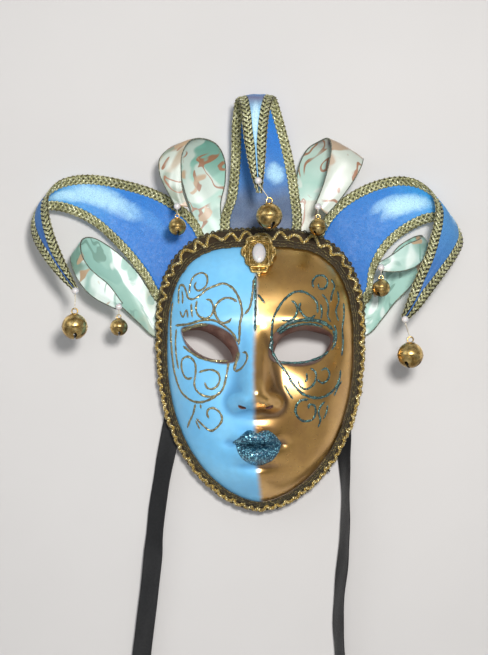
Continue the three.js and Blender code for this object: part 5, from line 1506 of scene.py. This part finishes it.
def bell_mesh(size, *finishes):
    """A jingle bell about the origin: two pressed halves, a slotted mouth, a loop and the ball inside."""
    radius, wall = size["radius"], size["wall"]
    body = Piece()
    rings = []
    outside = np.radians(np.concatenate([np.linspace(89, 6, 20), [4, 2.6, 1.4, 0, -1.4, -2.6, -4],
            np.linspace(-6, -89, 20)]))
    seam = 0.45 * np.exp(-(np.degrees(outside) / 2.4) ** 2)
    for angle, ridge in zip(outside, seam):
        ring = circle(56, (radius + ridge) * math.cos(angle))
        rings.append(np.column_stack([ring, np.full(56, radius * math.sin(angle))]))
    skin_rings(body, rings, 0)
    made = placed("bell", body.mesh("bell"), *finishes)
    hollow = Piece()
    hollow.ball((0, 0, 0), (radius - wall,) * 3, 48, 24, 1)
    subtract(made, cutter_object(hollow, *finishes))
    start = -0.3 * radius
    deep = 1.1 * radius
    for turned in (False, True):
        slot = Piece()
        half = size["slot"] / 2
        reach = 0.78 * radius
        corners = [(-reach, -half), (reach, -half), (reach, half), (-reach, half)]
        if turned:
            corners = [(y, x) for x, y in corners][::-1]
        low = [(x, y, start - deep) for x, y in corners]
        high = [(x, y, start - 0.35 * radius) for x, y in corners]
        skin_rings(slot, [low, high], 1)
        subtract(made, cutter_object(slot, *finishes))
    for angle in (0, 90, 180, 270):
        hole = Piece()
        out = 0.74 * radius
        x, y = out * math.cos(math.radians(angle)), out * math.sin(math.radians(angle))
        ring = circle(20, 0.85 * size["slot"])
        skin_rings(hole,
                [np.column_stack([ring + (x, y), np.full(20, z)]) for z in (-1.5 * radius,
                -0.35 * radius)], 1)
        subtract(made, cutter_object(hole, *finishes))
    fine = bmesh.new()
    fine.from_mesh(made.data)
    extra = Piece()
    turn = np.arange(40) / 40 * TAU
    loop_z = radius + size["loop"] - LOOP_SINK * size["wire"]
    path = np.stack([size["loop"] * np.cos(turn), 0 * turn, loop_z + size["loop"] * np.sin(turn)], -1)
    extra.tube(path, size["wire"], 10, (0, 1, 0), closed=True)
    extra.tube(np.stack([0.32 * radius * np.cos(turn), 0.32 * radius * np.sin(turn),
            np.full(40, 0.955 * radius)], -1),
               0.35, 8, UP, closed=True)
    ball = 0.3 * radius
    extra.ball((0.1 * radius, 0.05 * radius, -(radius - wall - ball - 0.1)), (ball,) * 3, 24, 14, 2)
    extra_mesh = extra.mesh("bell_extras")
    fine.from_mesh(extra_mesh)
    mesh = bpy.data.meshes.new("bell")
    fine.to_mesh(mesh)
    fine.free()
    bpy.data.objects.remove(made)
    return mesh


def make_hanging(names, large_mesh, small_mesh, finishes):
    """A pearl, its thread loop and its bell, where the part has them."""
    for name in names:
        large = name.endswith("_point")
        size = LARGE_BELL if large else SMALL_BELL
        body = name.replace("_point", "_bell") if large else "mask"
        low, high = node_box(f"{name}_pearl")
        pearl = (low + high) / 2
        radius = (high[0] - low[0]) / 2
        made = Piece()
        made.ball(pearl, (radius * 1.03,) * 3, 36, 22, 0)
        hole = np.array([[0, 0, 0.88], [0, 0, 1.05]]) * radius + pearl
        made.tube(np.linspace(hole[0], hole[1], 4), 0.5, 8, AHEAD, mark=1)
        made.make(f"{name}_sewn_pearl", finishes["pearl"], finishes["thread"], slot="pearl",
                  replaces=[f"{name}_pearl"])

        low, high = node_box(f"{name}_bell")
        centre = np.array([(low[0] + high[0]) / 2, (low[1] + high[1]) / 2, low[2] + size["radius"]])
        mesh = (large_mesh if large else small_mesh).copy()
        places = np.zeros(len(mesh.vertices) * 3)
        mesh.vertices.foreach_get("co", places)
        turned = places.reshape(-1, 3)
        spin = 0.6 + 0.9 * len(name)
        x = turned[:, 0] * math.cos(spin) - turned[:, 1] * math.sin(spin)
        y = turned[:, 0] * math.sin(spin) + turned[:, 1] * math.cos(spin)
        keep = turned[:, 2] > (size["radius"] + 0.25) * MM
        x, y = np.where(keep, turned[:, 0], x), np.where(keep, turned[:, 1], y)
        mesh.vertices.foreach_set("co", (np.stack([x, y, turned[:, 2]], -1) + centre * MM).ravel())
        placed(f"{name}_jingle_bell", mesh, finishes["bell"], finishes["bell_inside"], finishes["steel"],
               body=body, slot="bell", replaces=[f"{name}_bell"], sharp=40)

        low, high = node_box(f"{name}_link")
        top = pearl - (0, 0, radius * 0.9)
        loop = centre + (0, 0, size["radius"] + 2 * size["loop"] - 2 * size["wire"])
        end = np.array([loop[0], loop[1], loop[2] - 0.25])
        thread = Piece()
        wire = 0.34 if large else 0.27
        for side in (-1, 1):
            bow = np.array([0.0, side * (1.5 if large else 1.0), 0.0])
            shares = np.linspace(0, 1, 26)[:, None]
            path = top + (end - top) * shares + bow * np.sin(math.pi * shares)
            thread.tube(path, wire, 6, (1, 0, 0))
        knot = top + (end - top) * 0.12
        thread.ball(knot, (0.85, 0.75, 0.7) if large else (0.62, 0.56, 0.52), 14, 9)
        thread.make(f"{name}_thread", finishes["thread"], slot="thread", replaces=[f"{name}_link"])


# Brooch

def brooch_point(across, ahead, up):
    """Local places on the brooch turned into the mask's frame."""
    tilt = math.radians(BROOCH_TILT)
    across, ahead, up = np.broadcast_arrays(*(np.asarray(v, float) for v in (across, ahead, up)))
    z = BROOCH_PLACE["up"] * FACE_RISE
    base = np.array([BROOCH_PLACE["x"], float(face_y(0.0, z)) - BROOCH_PLACE["clear"], z])
    y = -ahead * math.cos(tilt) + up * math.sin(tilt)
    high = ahead * math.sin(tilt) + up * math.cos(tilt)
    return np.stack([across, y, high], -1) + base


BROOCH_AHEAD = brooch_point(0, 1, 0) - brooch_point(0, 0, 0)


def brooch_wire(piece, points, height, radius, closed=False, beads=False, mark=0):
    """A wire laid on the plate through points given in millimetres across and up."""
    rows = np.asarray(points, float)
    line = smooth_loop(rows, 14 * len(rows)) if closed else smooth_row(rows,
            np.linspace(0, 1, 10 * len(rows)))
    path = brooch_point(line[:, 0], height, line[:, 1])
    if beads:
        loop = np.concatenate([path, path[:1]]) if closed else path
        share, places = evenly(loop, 1.9 * radius)
        count = len(places) - (1 if closed else 0)
        at = np.interp(share[:count], np.linspace(0, 1, len(loop)), np.arange(len(loop)))
        low = at.astype(int)
        after = np.minimum(low + 1, len(loop) - 1)
        for spot in loop[low] + (loop[after] - loop[low]) * (at - low)[:, None]:
            piece.ball(spot, (radius,) * 3, 10, 7, mark)
    else:
        piece.tube(path, radius, 8, BROOCH_AHEAD, closed=closed, mark=mark)


def curl(centre, size, start, turns, hand, shrink=0.25):
    """A small spiral in the brooch's plane."""
    share = np.linspace(0, 1, 12)
    angle = math.radians(start) + hand * TAU * turns * share
    radius = size * (1 - (1 - shrink) * share)
    return [(centre[0] + r * math.cos(a), centre[1] + r * math.sin(a)) for r, a in zip(radius, angle)]


def make_brooch(metal, bright, pearl):
    half_wide, half_high = BROOCH_WIDTH / 2, BROOCH_HEIGHT / 2
    right = [(across * half_wide, up * half_high) for across, up in BROOCH_OUTLINE]
    outline = right + [(-across, up) for across, up in right[:0:-1]]
    outline = smooth_loop(outline, 120)
    plate = Piece()
    rings = []
    for height, inset in ((0.0, 0.6), (0.5, 0.1), (1.3, 0.0), (1.7, 0.5), (1.5, 1.4)):
        away = unit(outline - (0, 0.1 * half_high))
        rim = outline - away * inset
        rings.append(brooch_point(rim[:, 0], height, rim[:, 1]))
    skin_rings(plate, rings)
    plate.make("brooch_plate", metal, slot="setting", replaces=["brooch_setting"], sharp=50)

    work = Piece()
    inside = outline * (0.9, 0.93)
    brooch_wire(work, inside[::4], 1.9, 0.62, closed=True, beads=True, mark=1)
    frame_points = [(0, 16.2), (3.2, 14.2), (7.6, 12.6), (9.4, 9.6), (9.2, 0), (9.4, -9.6),
            (7.6, -12.2), (0, -13),
                    (-7.6, -12.2), (-9.4, -9.6), (-9.2, 0), (-9.4, 9.6), (-7.6, 12.6), (-3.2, 14.2)]
    brooch_wire(work, frame_points, 2.3, 0.75, closed=True)
    brooch_wire(work, [(x * 0.86, y * 0.89) for x, y in frame_points], 2.3, 0.42, closed=True,
            beads=True, mark=1)
    for side in (-1, 1):
        for centre, size, start, hand in (
                ((11.6, 4.8), 2.1, 200, 1), ((11.4, -1.0), 1.9, 140, -1), ((9.6, 11.8), 2.0, 250, 1),
                ((10.0, -6.6), 1.8, 120, -1), ((4.6, 16.4), 1.9, 230, 1), ((6.4, -13.6), 1.7, 90, -1)):
            begin = start if side > 0 else 180 - start
            points = curl((side * centre[0], centre[1]), size, begin, 1.1, hand * side)
            brooch_wire(work, points, 2.0, 0.48)
            work.ball(brooch_point(side * centre[0], 2.1, centre[1]), (0.75, 0.7, 0.75), 12, 8, 1)
    for side in (-1, 1):
        brooch_wire(work, [(side * 5.5, -14.2), (side * 4.6, -16.6), (side * 2.2, -17.6), (0, -17.9)],
                2.1, 0.6)
    work.ball(brooch_point(0, 2.0, 18.6), (1.25, 1.1, 1.25), 14, 9, 1)
    work.ball(brooch_point(0, 1.9, -15.6), (1.5, 1.2, 1.3), 14, 9, 1)
    work.ball(brooch_point(0, 1.7, -19.4), (1.35, 1.2, 1.5), 14, 9, 1)
    turn = np.arange(44) / 44 * TAU
    wide = BROOCH_PEARL["across"] / 2 + 0.75
    tall = BROOCH_PEARL["up"] / 2 + 0.75
    for height, grow, radius in ((1.9, 0.9, 0.9), (3.0, 0.35, 0.7)):
        path = brooch_point((wide + grow) * np.cos(turn), height, (tall + grow) * np.sin(turn))
        work.tube(path, radius, 8, BROOCH_AHEAD, closed=True)
    for angle in np.arange(22) / 22 * TAU:
        base = brooch_point((wide + 0.5) * math.cos(angle), 3.2, (tall + 0.5) * math.sin(angle))
        tip = brooch_point((wide - 0.5) * math.cos(angle), 4.7, (tall - 0.5) * math.sin(angle))
        work.tube(base + (tip - base) * np.linspace(0, 1, 5)[:, None], np.linspace(0.65, 0.3, 5), 6,
                BROOCH_AHEAD, mark=1)
    work.make("brooch_filigree", metal, bright, slot="setting")

    low, high = node_box("brooch_pearl")
    stone = Piece()
    radii = [BROOCH_PEARL[key] / 2 for key in ("across", "depth", "up")]
    stone.ball((0, 0, 0), radii, 56, 36)
    points = stone.points[0]
    ahead = BROOCH_PLATE + BROOCH_PEARL["sunk"] - points[:, 1]
    stone.points[0] = brooch_point(points[:, 0], ahead, points[:, 2])
    stone.make("brooch_oval_pearl", pearl, slot="pearl", replaces=["brooch_pearl"])


# Ties

def make_tie(name, rows, finish):
    """A flat woven tie, hanging. Its edges are bound and it ripples a little across."""
    fine = np.linspace(0, 1, 500)
    line = smooth_row(rows, fine)
    middle = np.stack([line[:, 0] * FACE_HALF_WIDTH, line[:, 1] * TIE_WIDTH, -line[:, 2] * TIE_DROP], -1)
    places = lengths(middle)
    share = np.interp(np.linspace(0, places[-1], 200), places, fine)
    line = smooth_row(rows, share)
    middle = np.stack([line[:, 0] * FACE_HALF_WIDTH, line[:, 1] * TIE_WIDTH, -line[:, 2] * TIE_DROP], -1)
    turn = np.radians(line[:, 3])
    across = np.stack([np.cos(turn), -np.sin(turn), 0 * turn], -1)
    through = np.stack([np.sin(turn), np.cos(turn), 0 * turn], -1)
    shares = np.linspace(-1, 1, 25)
    run = lengths(middle)[:, None]
    ripple = 0.35 * np.sin(run / 17 + shares * 1.3) * (1 - shares ** 2)
    ripple = ripple + 0.25 * np.sin(run / 7.0) * shares ** 3
    spread = across[:, None] * (shares * TIE_WIDTH / 2)[:, None]
    points = middle[:, None] + spread + through[:, None] * ripple[..., None]
    normal = np.broadcast_to(through[:, None], points.shape)
    lay = lay_for(points, run, shares * TIE_WIDTH / 2)
    wall = TIE_THICKNESS * np.where(np.abs(shares) > 0.88, 0.85, 0.7)
    piece = Piece()
    slab(piece, points, normal, wall, lay)
    obj = piece.make(name, finish, slot="tie", replaces=[name.replace("_ribbon", "")])


# Camera, lights and stage

def make_camera():
    data = bpy.data.cameras.new("camera")
    data.sensor_width = SENSOR
    data.lens = SENSOR * -EYE_POINT[1] / (PIXEL * FRAME_HEIGHT)
    camera = bpy.data.objects.new("camera", data)
    camera.location = [value * MM for value in EYE_POINT]
    camera.rotation_euler = (math.pi / 2, 0, 0)
    bpy.context.scene.collection.objects.link(camera)
    bpy.context.scene.camera = camera


def make_light(name, place, target, size, power, shade=(1, 1, 1)):
    data = bpy.data.lights.new(name, "AREA")
    data.shape = "DISK"
    data.size = size
    data.energy = power
    data.color = shade
    light = bpy.data.objects.new(name, data)
    light.location = place
    away = np.array(target) - np.array(place)
    flat = math.hypot(away[0], away[1])
    light.rotation_euler = (math.atan2(flat, -away[2]), 0, math.atan2(-away[0], away[1]))
    bpy.context.scene.collection.objects.link(light)


def make_stage():
    wall_finish = plain_stage("wall", 0.9, see_through=True)
    floor_finish = plain_stage("floor", 0.85)
    for name, corners, finish in (
            ("backdrop", [(-2, 0.009, -1.1), (2, 0.009, -1.1), (2, 0.009, 1.6), (-2, 0.009, 1.6)],
            wall_finish),
            ("floor", [(-3, -3, -1.1), (3, -3, -1.1), (3, 3, -1.1), (-3, 3, -1.1)], floor_finish)):
        mesh = bpy.data.meshes.new(name)
        mesh.from_pydata(corners, [], [(0, 1, 2, 3)])
        mesh.materials.append(finish)
        obj = bpy.data.objects.new(name, mesh)
        bpy.context.scene.collection.objects.link(obj)
    world = bpy.data.worlds.new("studio")
    bpy.context.scene.world = world
    world.use_nodes = True
    background = world.node_tree.nodes["Background"]
    background.inputs["Color"].default_value = (0.93, 0.95, 1.0, 1)
    # The room is brighter above than below
    tree = world.node_tree
    facing = add(tree, "SeparateXYZ", {0: add(tree, "TexCoord").outputs["Generated"]}).outputs[2]
    tree.links.new(between(tree, facing, -0.35, 0.6, 0.1, 0.27), background.inputs["Strength"])
    make_light("flash", (0.15, -1.3, 0.26), (0, 0, 0), 0.2, 16, (1, 0.98, 0.96))
    make_light("front_fill", (-0.1, -1.7, 0.05), (0, 0, 0), 0.9, 5, (0.96, 0.98, 1))
    make_light("left_fill", (-1.1, -0.9, 0.5), (0, 0, 0), 0.9, 2.2, (0.92, 0.96, 1))
    make_light("back_fill", (0.5, 1.6, 0.35), (0, 0, 0), 0.9, 24)
    # Plain colours, as a camera gives them, for an object of bright paint and gilding
    bpy.context.scene.view_settings.view_transform = "Standard"


# Assembly

make_camera()
make_tie("left_tie_ribbon", LEFT_TIE_ROWS,
        woven_tape("black_tie", (8, 8, 10), (26, 27, 29), 0.45, 0.8, 0.12, 0.55))
make_tie("right_tie_ribbon", RIGHT_TIE_ROWS, bpy.data.materials["black_tie"])

make_face(face_paint(), face_lining())
make_lips(glitter_paint(
    "teal_glitter_lips", (8, 40, 60), (30, 98, 128), (150, 222, 244), 0.2, 0.8, 0.5, 0.8))
make_scrolls("scrolls_on_blue", SCROLLS_ON_BLUE, glitter_paint(
    "bronze_glitter", (74, 72, 62), (128, 118, 84), (206, 190, 134), 0.22, 0.5, 0.5))
make_scrolls("scrolls_on_gold", SCROLLS_ON_GOLD, glitter_paint(
    "teal_glitter", (12, 32, 34), (30, 62, 64), (124, 184, 178), 0.22, 0.6, 0.45))
make_trim(
    woven_tape("trim_dark_tape", (20, 15, 8), (72, 54, 28), 0.8, 0.3, 0.1),
    cord_finish("trim_gold_thread", (96, 74, 24), (190, 158, 74), (255, 244, 190), 1.5, 2.0, 0.75, 0.24),
    cord_finish("trim_dark_thread", (18, 15, 8), (66, 58, 30), (140, 124, 70), 1.5, 2.0, 0.3, 0.5))

PLAIT = cord_finish(
    "olive_gold_plait", (84, 82, 44), (172, 172, 122), (242, 242, 206), 1.7, 3.0, 0.4, 0.32)
PICOT = cord_finish(
    "olive_gold_picot", (60, 56, 28), (134, 130, 84), (226, 222, 176), 1.3, 2.0, 0.4, 0.36)
PLAIT_TAPE = woven_tape("plait_dark_tape", (14, 12, 6), (48, 44, 22), 0.6, 0.3, 0.05)
# Lighter and darker bands in the velvets' stops are partly painted light and shade, and their patches are
# painted highlights
LEFT_VELVET = velvet("left_velvet", [
    (0.0, (20, 104, 186)), (0.3, (28, 120, 204)), (0.48, (58, 152, 218)), (0.62, (72, 120, 172)),
    (0.8, (60, 98, 154)), (1.0, (64, 104, 162))],
    [(0.38, -6, 0.14, 15, 0.85, PAINTED_GLEAM), (0.5, 2, 0.09, 11, 0.8, PAINTED_GLEAM),
    (0.22, -10, 0.08, 9, 0.35, (84, 160, 226))])
RIGHT_VELVET = velvet("right_velvet", [
    (0.0, (20, 102, 182)), (0.3, (28, 122, 204)), (0.48, (66, 160, 222)), (0.62, (84, 146, 200)),
    (0.8, (64, 112, 172)), (1.0, (62, 106, 164))],
    [(0.37, 2, 0.11, 13, 1.0, PAINTED_GLEAM), (0.3, -8, 0.07, 8, 0.6, PAINTED_GLEAM), (0.56, 6, 0.05, 8, 0.4, PAINTED_GLEAM)])
CENTRE_VELVET = velvet("centre_velvet", [
    (0.0, (92, 104, 126)), (0.13, (90, 108, 134)), (0.2, (60, 124, 192)), (0.34, (28, 118, 206)),
    (0.55, (50, 136, 208)), (0.62, (118, 122, 150)), (0.72, (160, 214, 244)), (1.0, (120, 176, 220))],
    [(0.22, 14, 0.035, 12, 0.8, PAINTED_GLEAM), (0.74, 0, 0.09, 9, 0.9, (206, 240, 254))])

POINTS = [
    ("left_point", (128.5, 90, 50), -1, 112, 148, LEFT_POINT_ROWS, LEFT_VELVET),
    ("centre_point", (36, 119, 57), 1, 106, 74, CENTRE_POINT_ROWS, CENTRE_VELVET),
    ("right_point", (106.5, 89, 50), 1, 69, 32, RIGHT_POINT_ROWS, RIGHT_VELVET),
]
for name, size, side, start, end, rows, finish in POINTS:
    cloth = Cloth(size, side, start, end, VELVET_SEAT, rows)
    cloth_sheet(f"{name}_cloth", cloth, BRAID_WIDTH - 0.8, VELVET_WALL, VELVET_CAMBER, finish, "velvet",
                [f"{name}_velvet"], 0.35)
    make_plaits(name, cloth, PLAIT, PICOT, PLAIT_TAPE, f"{name}_braid")

WHITE = (190, 202, 192)
TEAL = (98, 142, 128)
AQUA = (158, 190, 180)
BROWN = (146, 92, 56)
# In each ribbon's stops the dark middle band is painted shade along its fold
PRINTS = {
    "upper_left": printed("upper_left_print", [
        (0.0, (190, 212, 200)), (0.2, (140, 186, 170)), (0.42, (108, 166, 148)), (0.5, (76, 112, 100)),
        (0.6, (160, 146, 122)), (1.0, (170, 162, 142))], BROWN, WHITE, TEAL),
    "upper_right": printed("upper_right_print", [
        (0.0, (200, 214, 204)), (0.22, (150, 190, 176)), (0.42, (186, 206, 196)), (0.52, (104, 72, 86)),
        (0.6, (164, 142, 118)), (1.0, (176, 160, 138))], BROWN, WHITE, (170, 146, 118), turn=0.04),
    "lower_left": printed("lower_left_print", [
        (0.0, (152, 134, 96)), (0.15, (130, 174, 158)), (0.4, (160, 200, 188)), (0.62, (140, 184, 170)),
        (0.68, (84, 112, 92)), (0.78, AQUA), (1.0, (198, 214, 204))],
        (112, 150, 136), (216, 230, 224), (120, 168, 156), turn=0.08),
    "lower_right": printed("lower_right_print", [
        (0.0, (130, 178, 162)), (0.3, (160, 200, 188)), (0.55, (140, 184, 170)), (0.64, (96, 124, 108)),
        (0.76, AQUA), (1.0, (164, 198, 186))],
        (112, 150, 136), (216, 228, 222), TEAL, turn=0.13),
}
RIBBONS = [
    ("upper_left", (64, 91, 32), -1, 113, 105, UPPER_LEFT_ROWS),
    ("upper_right", (66, 93, 32), 1, 75, 64, UPPER_RIGHT_ROWS),
    ("lower_left", (95, 80, 32), -1, 140, 157, LOWER_LEFT_ROWS),
    ("lower_right", (86, 80, 32), 1, 40, 23, LOWER_RIGHT_ROWS),
]
WIRE = cord_finish("wire_edge", (52, 58, 50), (96, 102, 88), (150, 152, 132), 0.9, 2.0, 0.1, 0.55, 0.12)
for name, size, side, start, end, rows in RIBBONS:
    cloth = Cloth(size, side, start, end, RIBBON_SEAT, rows)
    cloth_sheet(f"{name}_cloth", cloth, 0.3, RIBBON_WALL, RIBBON_CAMBER, PRINTS[name], "print",
            [f"{name}_ribbon"], 0.3)
    make_wire_edge(f"{name}_wire_edge", cloth, WIRE)

BELL_BRASS = metal_finish("bell_brass", (84, 62, 28), (212, 170, 96), (250, 222, 152), 0.22, 5.0, 0.6)
BELL_INSIDE = metal_finish("bell_inside", (22, 16, 10), (60, 44, 24), (92, 70, 40), 0.5, 3.0)
STEEL = metal_finish("steel_ball", (60, 60, 60), (120, 120, 118), (170, 170, 168), 0.3, 2.0)
FINISHES = {
    "pearl": pearl_finish("sewn_pearl"),
    "thread": cord_finish(
        "cream_thread", (150, 140, 118), (220, 212, 190), (244, 240, 226), 0.9, 2.0, 0.0, 0.7, 0.12),
    "bell": BELL_BRASS, "bell_inside": BELL_INSIDE, "steel": STEEL,
}
make_hanging([row[0] for row in POINTS + RIBBONS], bell_mesh(LARGE_BELL, BELL_BRASS, BELL_INSIDE, STEEL),
             bell_mesh(SMALL_BELL, BELL_BRASS, BELL_INSIDE, STEEL), FINISHES)
make_brooch(
    metal_finish("antique_gold", (92, 72, 34), (190, 156, 84), (236, 206, 132), 0.3, 3.5, 0.2, 0.1, 0.6),
    metal_finish(
        "rubbed_gold", (130, 104, 52), (224, 190, 110), (254, 236, 180), 0.22, 3.0, 0.2, 0.06, 0.4),
    FINISHES["pearl"])
make_stage()
